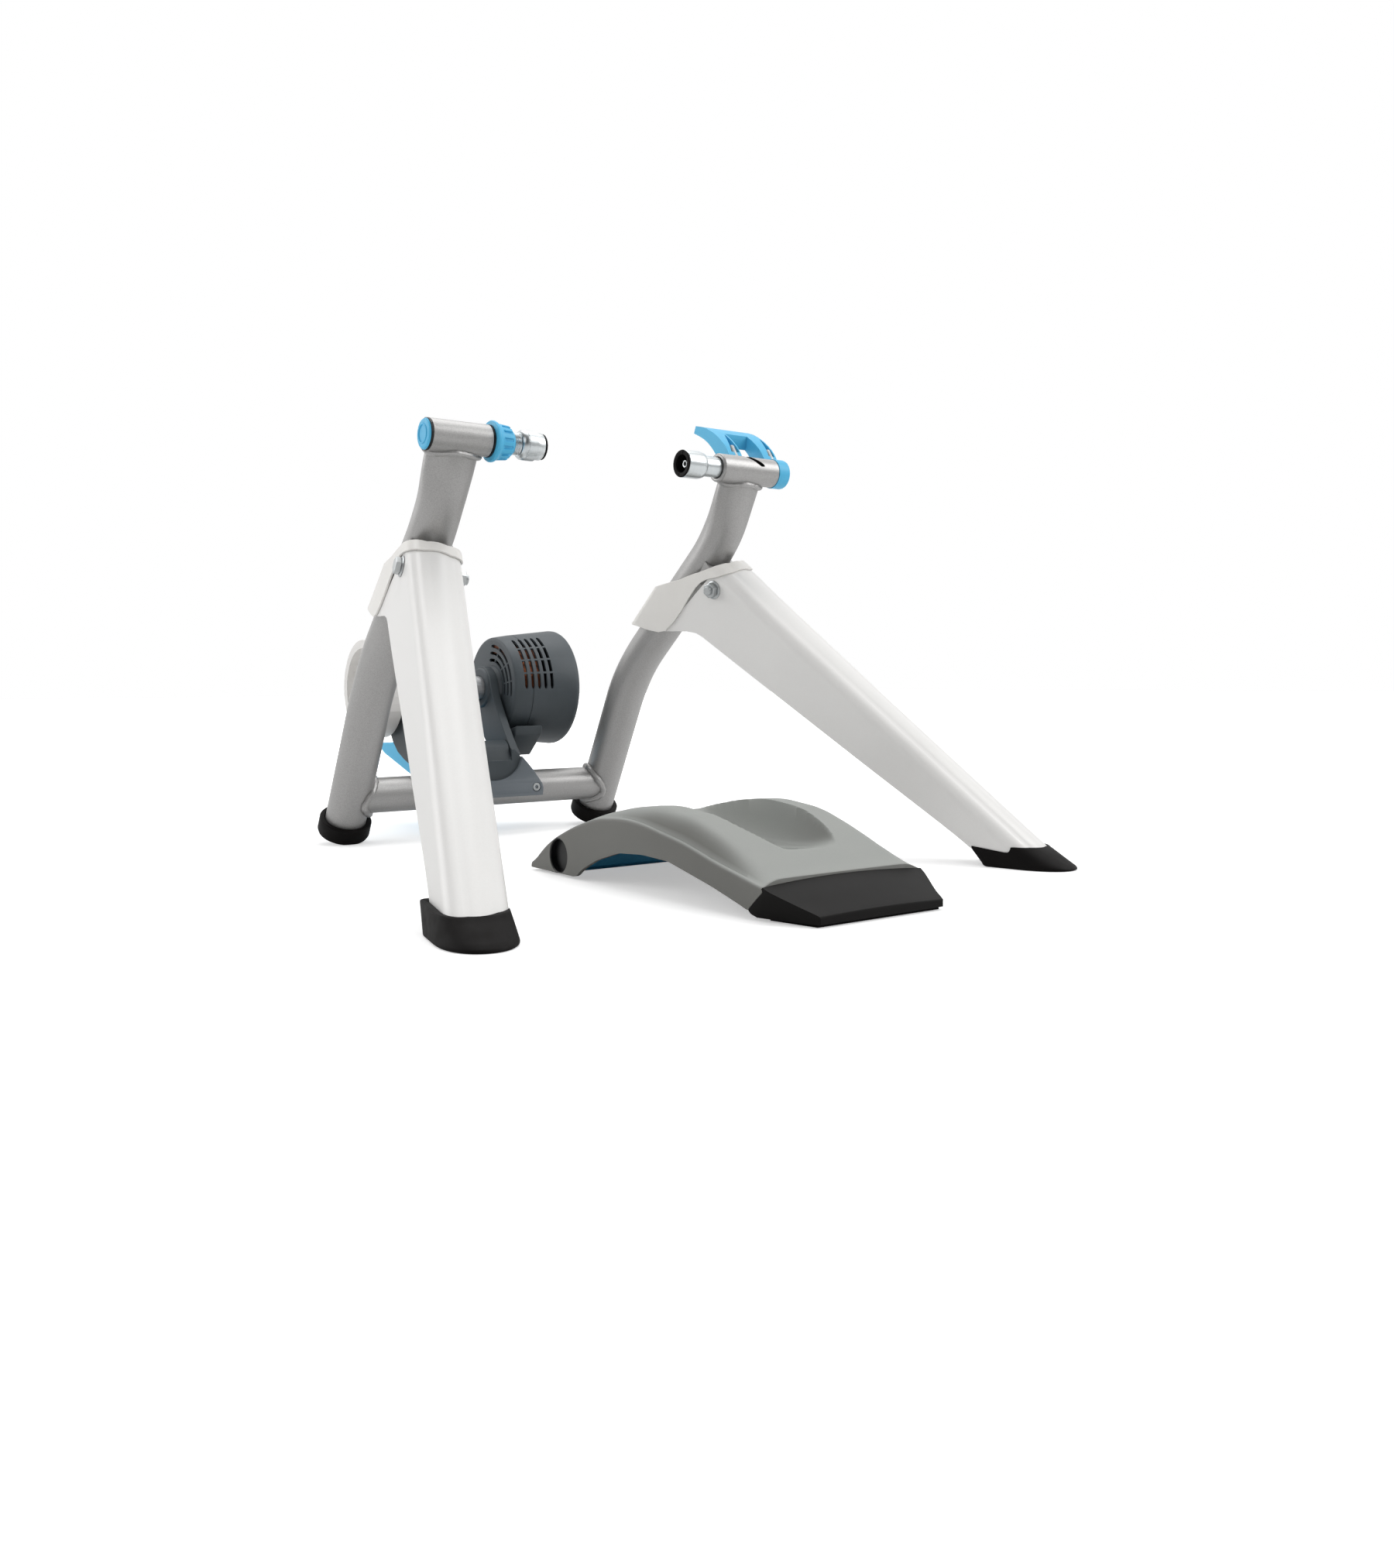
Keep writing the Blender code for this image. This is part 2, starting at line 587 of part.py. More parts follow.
for side_name, sign in (("left", -1.0), ("right", 1.0)):
    body = frame(f"{side_name}_leg", leg_point(sign, 0.0, 0.0, 0.0), trainer)
    down = Vector((down_right.x * sign, down_right.y, down_right.z))
    inward = Vector((inward_right.x * sign, inward_right.y, inward_right.z))
    pivot = leg_point(sign, 0.0, 0.0, 0.0)

    rings = leg_rings(sign, 0.0) + [leg_cut_ring(sign, LEG_END_Z, 0.0)]
    shell = piece(f"{side_name}_leg_shell", skin(rings, strip=True), body, "white_coat")
    bore = turned([(-0.04, 0.0), (-0.04, BOLT_R + GAP), (0.04, BOLT_R + GAP), (0.04, 0.0)], pivot, inward, 20)
    shaped(shell, bore, body)
    piece(f"{side_name}_leg_collar", skin(collar_rings(sign), True), body, "white_plastic")

    outer = []
    for height, share in ((0.0, 0.0), (BOOT_TREAD, 0.05), (BOOT_RIM, 1.0)):
        plan = [low + (high - low) * share for low, high in zip(BOOT_FLOOR, BOOT_TOP)]
        outer.append(boot_outline(sign, *plan, height, BOOT_DIP if height == BOOT_RIM else 0.0))
    boot = piece(f"{side_name}_boot", skin(outer), body, "rubber")
    shaped(boot, skin([leg_cut_ring(sign, BOOT_SOLE, GAP), leg_cut_ring(sign, 0.045, GAP)], strip=True), body)

    head = LEG_HALF[0][1] + GAP
    bolt = [(-head - 0.0075, 0.0), (-head - 0.0075, 0.0058), (-head - 0.0068, -1.0), (-head - 0.0018, -1.0),
            (-head - 0.0012, BOLT_FLANGE_R), (-head, BOLT_FLANGE_R), (-head, BOLT_R),
            (head + 0.0105, BOLT_R), (head + 0.0110, BOLT_R - 0.0006), (head + 0.0110, 0.0)]
    piece(f"{side_name}_pivot_bolt", turned(bolt, pivot, inward, 24, radius=hexed(BOLT_HEX)), body, "zinc")
    nut = [(head, BOLT_R + GAP), (head, BOLT_FLANGE_R), (head + 0.0012, BOLT_FLANGE_R),
           (head + 0.0018, -1.0), (head + 0.0080, -1.0), (head + 0.0080, BOLT_R + GAP)]
    piece(f"{side_name}_pivot_nut", turned(nut, pivot, inward, 24, True, hexed(BOLT_HEX)), body, "zinc")

    lug_plan = arc((0.0, 0.0), LUG_R, -110.0, 110.0, 12) + [(-0.030, 0.016), (-0.030, -0.010)]
    lug_rings = [[leg_point(sign, u, v, n) for u, v in lug_plan] for n in (-LUG_HALF, LUG_HALF)]
    lug = piece(f"{side_name}_pivot_lug", skin(lug_rings), trainer, "grey_coat")
    shaped(lug, turned([(-0.04, 0.0), (-0.04, BOLT_R + GAP), (0.04, BOLT_R + GAP), (0.04, 0.0)],
                       pivot, inward, 20), trainer)
    middle = centre_line(LOWER_BEND, sign) - centre_line(UPPER_BEND, sign)
    clear_r = UPRIGHT_R + LEAN_GAP
    shaped(lug, turned([(0.0, 0.0), (0.0, clear_r), (0.2, clear_r), (0.2, 0.0)], centre_line(UPPER_BEND, sign),
                       middle, 48), trainer)

# Left clamp: the ring is the nut of the threaded spindle
ring_body = frame("lock_ring_body", (LOCK_RING[0], *axle), trainer)
grooved = [(LOCK_RING[0], SPINDLE_R + GAP), (LOCK_RING[0], 0.0182), (LOCK_RING[0] + 0.0006, 0.0188),
           (LOCK_RING[0] + 0.0038, 0.0188), (LOCK_RING[0] + 0.0046, 0.0172),
           (LOCK_RING[0] + 0.0160, 0.0160), (LOCK_RING[0] + 0.0200, 0.0140), (LOCK_RING[1], 0.0124),
           (LOCK_RING[1], SPINDLE_R + GAP)]
piece("lock_ring", along_x(grooved, axle, 32, True,
                           lambda k, r: r - 0.0012 if k % 4 == 0 and 0.0150 < r < 0.0175 else r),
      ring_body, "blue_plastic")
left_slide = frame("left_slide", (LEFT_CUP[0], *axle), trainer)
neck = LEFT_CUP[0] + 0.006
piece("left_spindle", along_x([(-0.186, 0.0), (-0.186, SPINDLE_R - 0.001), (-0.185, SPINDLE_R),
                               (LEFT_CUP[0] - GAP, SPINDLE_R), (LEFT_CUP[0] - GAP, NECK_R), (neck, NECK_R),
                               (neck, 0.0)], axle), left_slide, "zinc")
piece("left_cup", along_x([(LEFT_CUP[0], NECK_R + GAP), (LEFT_CUP[0], 0.0140), (LEFT_CUP[0] + 0.0075, 0.0140),
                           (LEFT_CUP[0] + 0.0080, 0.0129), (LEFT_CUP[1] - 0.0008, 0.0129),
                           (LEFT_CUP[1], 0.0124), (LEFT_CUP[1], CUP_BORE_R),
                           (LEFT_CUP[0] + 0.0070, CUP_BORE_R), (LEFT_CUP[0] + 0.0070, NECK_R + GAP)],
                          axle, closed=True), left_slide, "zinc")
piece("left_cup_liner", along_x([(LEFT_CUP[0] + 0.0074, 0.0065), (LEFT_CUP[0] + 0.0074, CUP_BORE_R - GAP),
                                 (LEFT_CUP[1] + GAP, CUP_BORE_R - GAP), (LEFT_CUP[1] + GAP, 0.0125),
                                 (LEFT_CUP[1] + 0.0012, 0.0125), (LEFT_CUP[1] + 0.0012, 0.0092),
                                 (LEFT_CUP[0] + 0.0095, 0.0086), (LEFT_CUP[0] + 0.0095, 0.0065)],
                                axle, closed=True), left_slide, "black_plastic")

# Right clamp: the lever turns and pushes the plain spindle
right_slide = frame("right_slide", (RIGHT_CUP[1], *axle), trainer)
piece("right_cup", along_x([(RIGHT_CUP[1], NECK_R + GAP), (RIGHT_CUP[1], 0.0138), (RIGHT_CUP[1] - 0.0008, 0.0145),
                            (RIGHT_CUP[1] - 0.0150, 0.0145), (RIGHT_CUP[1] - 0.0160, 0.0136),
                            (RIGHT_CUP[0] + 0.0008, 0.0136), (RIGHT_CUP[0], 0.0130),
                            (RIGHT_CUP[0], CUP_BORE_R), (RIGHT_CUP[1] - 0.0070, CUP_BORE_R),
                            (RIGHT_CUP[1] - 0.0070, NECK_R + GAP)], axle, closed=True), right_slide, "zinc")
piece("right_cup_liner", along_x([(RIGHT_CUP[1] - 0.0074, 0.0065), (RIGHT_CUP[1] - 0.0074, CUP_BORE_R - GAP),
                                  (RIGHT_CUP[0] - GAP, CUP_BORE_R - GAP), (RIGHT_CUP[0] - GAP, 0.0142),
                                  (RIGHT_CUP[0] - 0.0018, 0.0142), (RIGHT_CUP[0] - 0.0018, 0.0094),
                                  (RIGHT_CUP[1] - 0.0095, 0.0086), (RIGHT_CUP[1] - 0.0095, 0.0065)],
                                 axle, closed=True), right_slide, "black_plastic")
lever_body = frame("lever_body", (HUB_X[0], *axle), right_slide)
spindle_end = HUB_X[1] - 0.003
piece("right_spindle", along_x([(RIGHT_CUP[1] - 0.006, 0.0), (RIGHT_CUP[1] - 0.006, NECK_R),
                                (RIGHT_CUP[1] + GAP, NECK_R), (RIGHT_CUP[1] + GAP, PLAIN_SPINDLE_R),
                                (spindle_end, PLAIN_SPINDLE_R), (spindle_end, 0.0)], axle), lever_body, "zinc")

clear_r = AXLE_TUBE_R + 0.0005
paddle = [(0.0690, 0.0580), (0.0500, 0.0525), (0.0305, 0.0415), (0.0170, 0.0300), (0.0086, 0.0182)]
paddle += arc((0.0, 0.0), clear_r - 0.003, 68.0, 22.0, 6)
paddle += [(0.0240, 0.0125), (0.0330, 0.0215), (0.0410, 0.0305), (0.0550, 0.0415), (0.0730, 0.0505),
           (0.0745, 0.0540)]
paddle = [(y, z + AXLE_Z) for y, z in paddle]
lever = piece("clamp_lever", soften(prism(paddle, *LEVER_X), 0.0015, 2,
                                    lambda edge: abs(edge.verts[0].co.x - edge.verts[1].co.x) < 1e-6),
              lever_body, "blue_plastic")
shaped(lever, along_x([(HUB_X[0], 0.0), (HUB_X[0], HUB_R), (HUB_X[1] - 0.0025, HUB_R),
                       (HUB_X[1] - 0.0007, HUB_R - 0.0007), (HUB_X[1], HUB_R - 0.0025), (HUB_X[1], 0.0)],
                      axle, 24), lever_body, "UNION")
stop = RIGHT_TUBE[1] + GAP
shaped(lever, along_x([(0.10, 0.0), (0.10, clear_r), (stop, clear_r), (stop, PLAIN_SPINDLE_R + GAP),
                       (spindle_end + GAP, PLAIN_SPINDLE_R + GAP), (spindle_end + GAP, 0.0)], axle, 48),
       lever_body)
window = [(-0.011, 0.0280), (0.0140, 0.0280), (0.0320, 0.0370), (0.0490, 0.0455), (0.0590, 0.0380),
          (0.0490, 0.0180), (0.0290, -0.0020), (-0.011, -0.0020)]
shaped(lever, prism([(y, z + AXLE_Z) for y, z in window], *LEVER_WINDOW), lever_body, solver="MANIFOLD")
for screw_name, screw_x, lean, deep in (("lever_screw_slot", SLOT_FROM[0], 50.0, PLAIN_SPINDLE_R),
                                        ("lever_screw_end", 0.2125, 50.0, PLAIN_SPINDLE_R)):
    way = Vector((0.0, math.sin(math.radians(lean)), math.cos(math.radians(lean))))
    base = Vector((screw_x, 0.0, AXLE_Z))
    shaped(lever, turned([(deep - 0.002, 0.0), (deep - 0.002, 0.0045), (0.045, 0.0045), (0.045, 0.0)], base, way, 12),
           lever_body, solver="MANIFOLD")
    piece(screw_name, turned([(deep + GAP, 0.0), (deep + GAP, 0.0021), (0.0196, 0.0021), (0.0196, 0.0042),
                              (0.0236, 0.0042), (0.0236, 0.0020), (0.0216, 0.0020), (0.0216, 0.0)],
                             base, way, 12), lever_body, "zinc")

# Saddle on the crossbar
pipe = (CROSSBAR_Y, CROSSBAR_Z)
saddle_plan = arc(pipe, SADDLE_R, 200.0, -14.0, 22) + arc(pipe, CROSSBAR_R + GAP, -14.0, 200.0, 24)


def taper(base, rate):
    """A side that leans in as it rises above the pipe's middle."""
    return lambda y, z: base + rate * max(0.0, z - 0.057)


saddle = piece("unit_saddle", prism(saddle_plan, taper(SADDLE_X[0], 0.35), taper(SADDLE_X[1], -0.55)),
               trainer, "slate_plastic")
ear = arc(UNIT_PIN, SADDLE_TOP_R, 180.0, 0.0, 10) + [(0.3135, 0.072), (0.300, 0.0762), (0.285, 0.0762),
                                                    (0.2745, 0.074)]
shaped(saddle, prism(ear, *SADDLE_EAR_X), trainer, "UNION")
for low in (PEDAL_X[0] - 0.0075, PEDAL_X[1] + 0.0005):
    lobe = arc(PEDAL_PIN, 0.008, -90.0, 90.0, 8) + [(0.3170, 0.0600), (0.3150, 0.0500)]
    shaped(saddle, prism(lobe, low, low + 0.007), trainer, "UNION")
shaped(saddle, rod(-0.12, 0.09, 0.004 + GAP, UNIT_PIN, 20), trainer)
shaped(saddle, rod(-0.12, 0.09, 0.003 + GAP, PEDAL_PIN, 20), trainer)
for side_name, x in (("left", SADDLE_X[0] + 0.009), ("right", SADDLE_X[1] - 0.009)):
    base = Vector((x, 0.0, 0.055))
    drill = [(0.255, 0.0), (0.255, 0.0058), (0.2695, 0.0058), (0.2695, 0.0030 + GAP), (0.292, 0.0030 + GAP),
             (0.292, 0.0)]
    shaped(saddle, turned(drill, base, (0.0, 1.0, 0.0), 16), trainer)
    shaped(bar, turned([(0.262, 0.0), (0.262, 0.0030 + GAP), (0.292, 0.0030 + GAP), (0.292, 0.0)], base,
                       (0.0, 1.0, 0.0), 16), trainer)
    piece(f"saddle_screw_{side_name}", turned(
        [(0.2680, 0.0), (0.2680, 0.0022), (0.2660, 0.0022), (0.2660, 0.0048), (0.2692, 0.0048),
         (0.2692, 0.0030), (0.2850, 0.0030), (0.2850, 0.0)], base, (0.0, 1.0, 0.0), 12), trainer, "zinc")

# Resistance unit
unit = frame("unit", (0.0, *UNIT_PIN), trainer)
lean = math.degrees(math.atan2(ROLLER[1] - UNIT_PIN[1], ROLLER[0] - UNIT_PIN[0]))
arm_plan = arc(ROLLER, ARM_TOP_R, lean + 94.0, lean - 94.0, 16) + arc(UNIT_PIN, ARM_FOOT_R, lean - 90.0,
                                                                       lean - 270.0, 12)
arms = piece("unit_frame", prism(arm_plan, LEFT_ARM_X[0], LEFT_ARM_X[1]), unit, "slate_plastic")
shaped(arms, prism(arm_plan, *RIGHT_ARM_X), unit, "UNION")
cowl = arc(ROLLER, ROLLER_R + 0.0065, lean - 40.0, lean - 120.0, 9) + arc(ROLLER, ROLLER_R + 0.0030,
                                                                         lean - 120.0, lean - 40.0, 9)
shaped(arms, prism(cowl, LEFT_ARM_X[1] - 0.002, RIGHT_ARM_X[0] + 0.002), unit, "UNION")
shaped(arms, rod(-0.12, 0.09, BEARING_R + GAP, ROLLER, 28), unit)
shaped(arms, rod(-0.12, 0.09, 0.004 + GAP, UNIT_PIN, 20), unit)
piece("unit_pin", rod(LEFT_ARM_X[0] - 0.001, RIGHT_ARM_X[1] - 0.0005, 0.004, UNIT_PIN, 16), trainer, "zinc")
for side_name, x in (("left", LEFT_ARM_X[0] + 0.004), ("right", RIGHT_ARM_X[0] + 0.0025)):
    piece(f"{side_name}_bearing", bush(x, x + 0.010, BEARING_R, SHAFT_R + GAP, ROLLER, 24), unit, "steel")

left, seam, right = DRUM_X
small, middle_r, large = DRUM_R
piece("drum_inner_housing", along_x([(left, 0.0145), (left, small - 0.003), (left + 0.002, small),
                                     (seam, middle_r), (seam, middle_r - DRUM_WALL),
                                     (left + DRUM_WALL, small - DRUM_WALL), (left + DRUM_WALL, 0.0145)],
                                    ROLLER, 40, True), unit, "slate_plastic")
piece("drum_outer_housing", along_x([(right, 0.0), (right, large - 0.006), (right - 0.0015, large - 0.0018),
                                     (right - 0.005, large), (seam + GAP, middle_r + 0.0001),
                                     (seam + GAP, middle_r - DRUM_WALL), (right - 0.006, large - DRUM_WALL),
                                     (right - DRUM_WALL, large - 0.008), (right - DRUM_WALL, 0.0)],
                                    ROLLER, 40), unit, "slate_plastic")
piece("stator", bush(left + DRUM_WALL + GAP, 0.092, 0.058, 0.044, ROLLER, 32), unit, "copper")

box_plan = [(0.3000, 0.1280), (0.3030, 0.1160), (0.3330, 0.0900), (0.3560, 0.0900), (0.3700, 0.1010),
            (0.3700, 0.1120)]
plug = piece("plug_box", soften(prism(box_plan, left, seam + 0.0133), 0.0020, 2), unit, "slate_plastic")
beside = [(left - 0.02, 0.0), (left - 0.02, small + GAP), (left + 0.002, small + GAP), (seam, middle_r + GAP),
          (right - 0.005, large + GAP), (right + 0.02, large + GAP), (right + 0.02, 0.0)]
shaped(plug, along_x(beside, ROLLER, 40), unit)
shaped(plug, prism([(0.346, 0.080), (0.346, 0.0965), (0.360, 0.0965), (0.360, 0.080)], 0.058, 0.076), unit)
piece("power_inlet", prism([(0.3465, 0.0912), (0.3465, 0.0962), (0.3575, 0.0962), (0.3575, 0.0932)],
                           0.0585, 0.0755), unit, "black_plastic")

# Everything that turns with the roller
spin = frame("spin", (0.0, *ROLLER), unit)
piece("roller", along_x([(ROLLER_X[0], SHAFT_R + GAP), (ROLLER_X[0], ROLLER_R - 0.001),
                         (ROLLER_X[0] + 0.001, ROLLER_R), (ROLLER_X[1] - 0.001, ROLLER_R),
                         (ROLLER_X[1], ROLLER_R - 0.001), (ROLLER_X[1], SHAFT_R + GAP)],
                        ROLLER, 28, True), spin, "roller")
piece("roller_shaft", rod(FLYWHEEL_X[0] - 0.002, 0.108, SHAFT_R, ROLLER, 20), spin, "steel")
face, back = FLYWHEEL_X
piece("flywheel", along_x([(face + 0.004, SHAFT_R + GAP), (face + 0.004, 0.016), (face + 0.009, 0.018),
                           (face + 0.009, 0.046), (face, 0.048), (face, FLYWHEEL_R - 0.001),
                           (face + 0.001, FLYWHEEL_R), (back - 0.001, FLYWHEEL_R), (back, FLYWHEEL_R - 0.001),
                           (back, SHAFT_R + GAP)], ROLLER, 40, True), spin, "steel")
piece("brake_rotor", bush(0.060, 0.090, 0.038, SHAFT_R + GAP, ROLLER, 32), spin, "steel")

# Foot pedal
pedal_body = frame("pedal_body", (0.0, *PEDAL_PIN), trainer)
slab = arc(PEDAL_PIN, PEDAL_HUB_R, 150.0, 290.0, 8) + [(0.3500, 0.0500), (0.3950, 0.0680), (0.4750, 0.0900),
                                                      (0.4880, 0.0960), (0.4900, 0.1010), (0.4860, 0.1040),
                                                      (0.4645, 0.1050), (0.4080, 0.1075), (0.3450, 0.0780)]
pedal = piece("pedal", soften(prism(slab, *PEDAL_X), 0.002, 2,
                              lambda edge: abs(edge.verts[0].co.x - edge.verts[1].co.x) < 1e-6),
              pedal_body, "blue_plastic")
shaped(pedal, rod(-0.12, 0.12, 0.003 + GAP, PEDAL_PIN, 20), pedal_body)
piece("pedal_pin", rod(PEDAL_X[0] - 0.0085, PEDAL_X[1] + 0.0085, 0.003, PEDAL_PIN, 16), trainer, "zinc")

# Front wheel block
SHOULDER = ((-0.345, 0.026), (-0.253, 0.0505), (-0.190, 0.0615), (-0.160, 0.063), (-0.120, 0.060),
            (-0.078, 0.048), (-0.040, 0.033), (-0.016, 0.018), (-0.002, 0.0055))
CREST = ((-0.345, 0.0310), (-0.293, 0.0570), (-0.250, 0.0700), (-0.200, 0.0745), (-0.160, 0.0715),
         (-0.120, 0.0635), (-0.078, 0.0500), (-0.040, 0.0345), (-0.016, 0.0190), (-0.002, 0.0060))
UNDERSIDE = ((-0.345, 0.0070), (-0.335, 0.0100), (-0.233, 0.033), (-0.195, 0.0345), (-0.158, 0.032),
             (-0.122, 0.022), (-0.097, 0.011), (-0.085, BLOCK_FOOT_Z))
HALF_WIDTH = ((-0.345, 0.084), (-0.200, 0.0865), (-0.002, 0.087))


def trough(y):
    """Height of the wheel's rest, an arc of the wheel."""
    return TROUGH_Z + WHEEL_R - math.sqrt(WHEEL_R ** 2 - (y - TROUGH_Y) ** 2)


def block_section(y, inset):
    """(x, z) points across the block from one lower edge over the rails to the other."""
    half = level(HALF_WIDTH, y) - inset
    shoulder = level(SHOULDER, y) - inset
    crest = level(CREST, y) - inset
    rest = min(crest - 0.0002, trough(y) - inset)
    bottom = level(UNDERSIDE, y)
    low = min(bottom, shoulder - 0.0008)
    right_half = [(half, low), (half, (low + shoulder) / 2.0), (half, shoulder - 0.0035 * (shoulder > 0.012)),
                  (half - 0.0040, shoulder), (half - 0.009, shoulder + (crest - shoulder) * 0.52),
                  (half - 0.018, shoulder + (crest - shoulder) * 0.92), (TROUGH_HALF + 0.014 + inset, crest),
                  (TROUGH_HALF + 0.003 + inset, crest - (crest - rest) * 0.12),
                  (TROUGH_HALF - 0.002 + inset, crest - (crest - rest) * 0.70),
                  (TROUGH_HALF - 0.010 + inset * 0.5, rest + (crest - rest) * 0.03), (0.0, rest)]
    return [(-x, z) for x, z in right_half[:-1]] + right_half[::-1]


rings = []
stations = (-0.345, -0.331, -0.316, -0.297, -0.274, -0.246, -0.218, -0.190, -0.164, -0.140, -0.116, -0.100,
            -0.085, -0.065, -0.040, -0.020, -0.002)
for y in stations:
    outer = block_section(y, 0.0)
    inner = block_section(y, BLOCK_WALL)[::-1]
    rings.append([Vector((BLOCK_X + x, y, z)) for x, z in outer + inner])
block = piece("block_shell", skin(rings, strip=True), trainer, "block_plastic")
shaped(block, along_x([(BLOCK_X - 0.12, 0.0), (BLOCK_X - 0.12, SIDE_HOLE_R), (BLOCK_X + 0.12, SIDE_HOLE_R),
                       (BLOCK_X + 0.12, 0.0)], SIDE_HOLE, 32), trainer)


def nose_ring(y, half, side_top, crown, low):
    points = []
    for share in (-1.0, -0.96, -0.5, 0.0, 0.5, 0.96, 1.0):
        lift = {1.0: -0.002, 0.96: 0.0}.get(abs(share), crown * (1.0 - share * share))
        points.append(Vector((BLOCK_X + share * half, y, side_top + lift)))
    points += [Vector((BLOCK_X + half * 0.99, y, low)), Vector((BLOCK_X - half * 0.99, y, low))]
    return points


nose = skin([nose_ring(SEAM_Y - GAP, 0.084, 0.026, 0.005, 0.0065), nose_ring(-0.353, 0.0825, 0.0232, 0.0045, 0.0022),
             nose_ring(-0.376, 0.0735, 0.0160, 0.003, 0.0022), nose_ring(-0.396, 0.0655, 0.0095, 0.0015, 0.0022),
             nose_ring(-0.3985, 0.0645, 0.0060, 0.0005, 0.0032)])
piece("block_nose", nose, trainer, "rubber")
pad = [[Vector((BLOCK_X + x, y, z)) for x, y in ((-0.073, -0.351), (0.073, -0.351), (0.0635, -0.3945),
                                                (-0.0635, -0.3945))] for z in (0.0, 0.0019)]
piece("block_nose_pad", skin(pad), trainer, "rubber")
foot_plan = [(-0.0150, 0.0100), (-0.0160, 0.0050), (-0.0220, 0.0012), (-0.0300, 0.0), (-0.0400, 0.0),
             (-0.0480, 0.0012), (-0.0540, 0.0050), (-0.0550, 0.0100)]
piece("block_foot_bar", prism(foot_plan, BLOCK_X - 0.068, BLOCK_X + 0.068), trainer, "blue_plastic")
for side_name, low, high in (("left", -0.0805, -0.0683), ("right", 0.0683, 0.0805)):
    piece(f"block_foot_end_{side_name}", prism([(y, z + 0.0004) for y, z in foot_plan], BLOCK_X + low,
                                              BLOCK_X + high), trainer, "black_plastic")
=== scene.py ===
"""Looks of the folding bicycle trainer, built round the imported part. Metres, +Z up."""

from math import atan2, copysign, cos, degrees, hypot, radians, sin, sqrt, tan, tau

import bmesh
import bpy
from mathutils import Matrix, Vector


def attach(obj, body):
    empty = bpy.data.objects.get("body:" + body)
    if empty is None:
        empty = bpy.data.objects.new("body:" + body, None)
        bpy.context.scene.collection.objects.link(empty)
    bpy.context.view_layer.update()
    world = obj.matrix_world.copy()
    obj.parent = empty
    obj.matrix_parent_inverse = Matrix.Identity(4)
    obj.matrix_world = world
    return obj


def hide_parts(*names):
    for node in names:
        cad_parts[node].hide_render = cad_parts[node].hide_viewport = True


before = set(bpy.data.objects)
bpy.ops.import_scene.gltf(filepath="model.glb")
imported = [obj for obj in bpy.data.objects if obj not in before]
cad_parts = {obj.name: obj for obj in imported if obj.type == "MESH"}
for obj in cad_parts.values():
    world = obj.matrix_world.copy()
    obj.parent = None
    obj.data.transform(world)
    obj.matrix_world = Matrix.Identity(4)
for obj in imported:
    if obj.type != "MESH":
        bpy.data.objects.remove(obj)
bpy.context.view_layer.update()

# Sizes, most of them the part's own. Pairs are (y, z), but a name that ends in X gives X from low to high
GAP = 0.0003
AXLE_Y = -0.04575
AXLE = (0.0, 0.4105)
UPRIGHT_R = 0.0225
TOP = (0.0055, 0.4105)
UPPER_BEND = (0.0448, 0.339)
LOWER_BEND = (0.217, 0.1941)
FLOOR_POINT = (0.3228, 0.0)
PINCH = (0.026, 0.0155)
PINCH_END = 0.02
PINCH_RUN = 0.055
TUBE_R = 0.0153
BORE_R = 0.0128
LEFT_TUBE_X = (-0.201, -0.1404)
RIGHT_TUBE_X = (0.1337, 0.206)
BAR_R = 0.02
BAR = (0.2925, 0.054)
FOOT_R = 0.0287
PIVOT = Vector((0.1803, 0.043, 0.2872))
BOOT = Vector((0.2956, -0.2829, 0.0))
SPINDLE_R = 0.0107
NECK_R = 0.005
CUP_BORE_R = 0.0105
RING_X = -0.138
RING_LONG = 0.022
LEFT_CUP_X = (-0.1075, -0.0836)
RIGHT_CUP_X = (0.0867, 0.1116)
PLAIN_R = 0.011
LEVER_X = 0.155
WINDOW_X = (0.1725, 0.2035)
HUB_X = (0.2065, 0.2222)
HUB_R = 0.016
BOLT_R = 0.005
BOLT_HEX = 0.015
ROLLER = (0.365, 0.1745)
ROLLER_R = 0.0145
UNIT_PIN = (0.302, 0.098)
LEFT_ARM_X = (-0.088, -0.07)
RIGHT_ARM_X = 0.0325
ARM_TOP_R = 0.027
DRUM_X = (0.048, 0.0717, 0.135)
DRUM_R = (0.0635, 0.0665, 0.0722)
DRUM_WALL = 0.0025

# Height on an upright, and its distance from the middle
UPRIGHT_X = ((0.0, 0.165), (0.1941, 0.1635), (0.339, 0.1713), (0.42, 0.1709))

# The lever's slot in the right axle tube: degrees round the tube, X
SLOT = ((-76.0, 0.1842), (-58.0, 0.1795), (-32.0, 0.1712), (0.0, 0.1672), (34.0, 0.1663), (46.0, 0.166))
SLOT_HALF = 0.0044

# A front leg, by the distance u down it: half width, height of its web, its edge, and how its head is cut
LEG_HALF = ((0.06, 0.0267), (0.22, 0.0253), (0.44, 0.0246))
WEB = ((0.02, 0.028), (0.06, 0.0265), (0.22, 0.0257), (0.44, 0.0252))
EDGE = ((-0.036, -0.0885), (-0.03, -0.084), (-0.0088, -0.0666), (0.004, -0.059), (0.0147, -0.0565),
    (0.06, -0.0517), (0.132, -0.044), (0.245, -0.032), (0.349, -0.0195), (0.4, -0.0138))
HEAD = ((-0.0075, -0.036), (0.01, 0.0), (0.03, 0.02), (0.06, 0.06), (0.5, 0.5))
LEG_WALL = 0.0022
LEG_CORNER = 0.0135
LEG_CROWN = 0.0026
LEG_END_Z = 0.0065
COLLAR_WALL = 0.002
STRAP_LOW = (-0.0855, -0.116)
STRAP_HIGH = (-0.0765, -0.055)

# The boot's back, front and half width, at the floor and at its rim
BOOT_TURN = radians(12.4)
BOOT_FLOOR = (-0.0345, 0.049, 0.0297)
BOOT_TOP = (-0.0545, 0.0175, 0.0277)
BOOT_RIM = 0.0235
BOOT_DIP = 0.0035

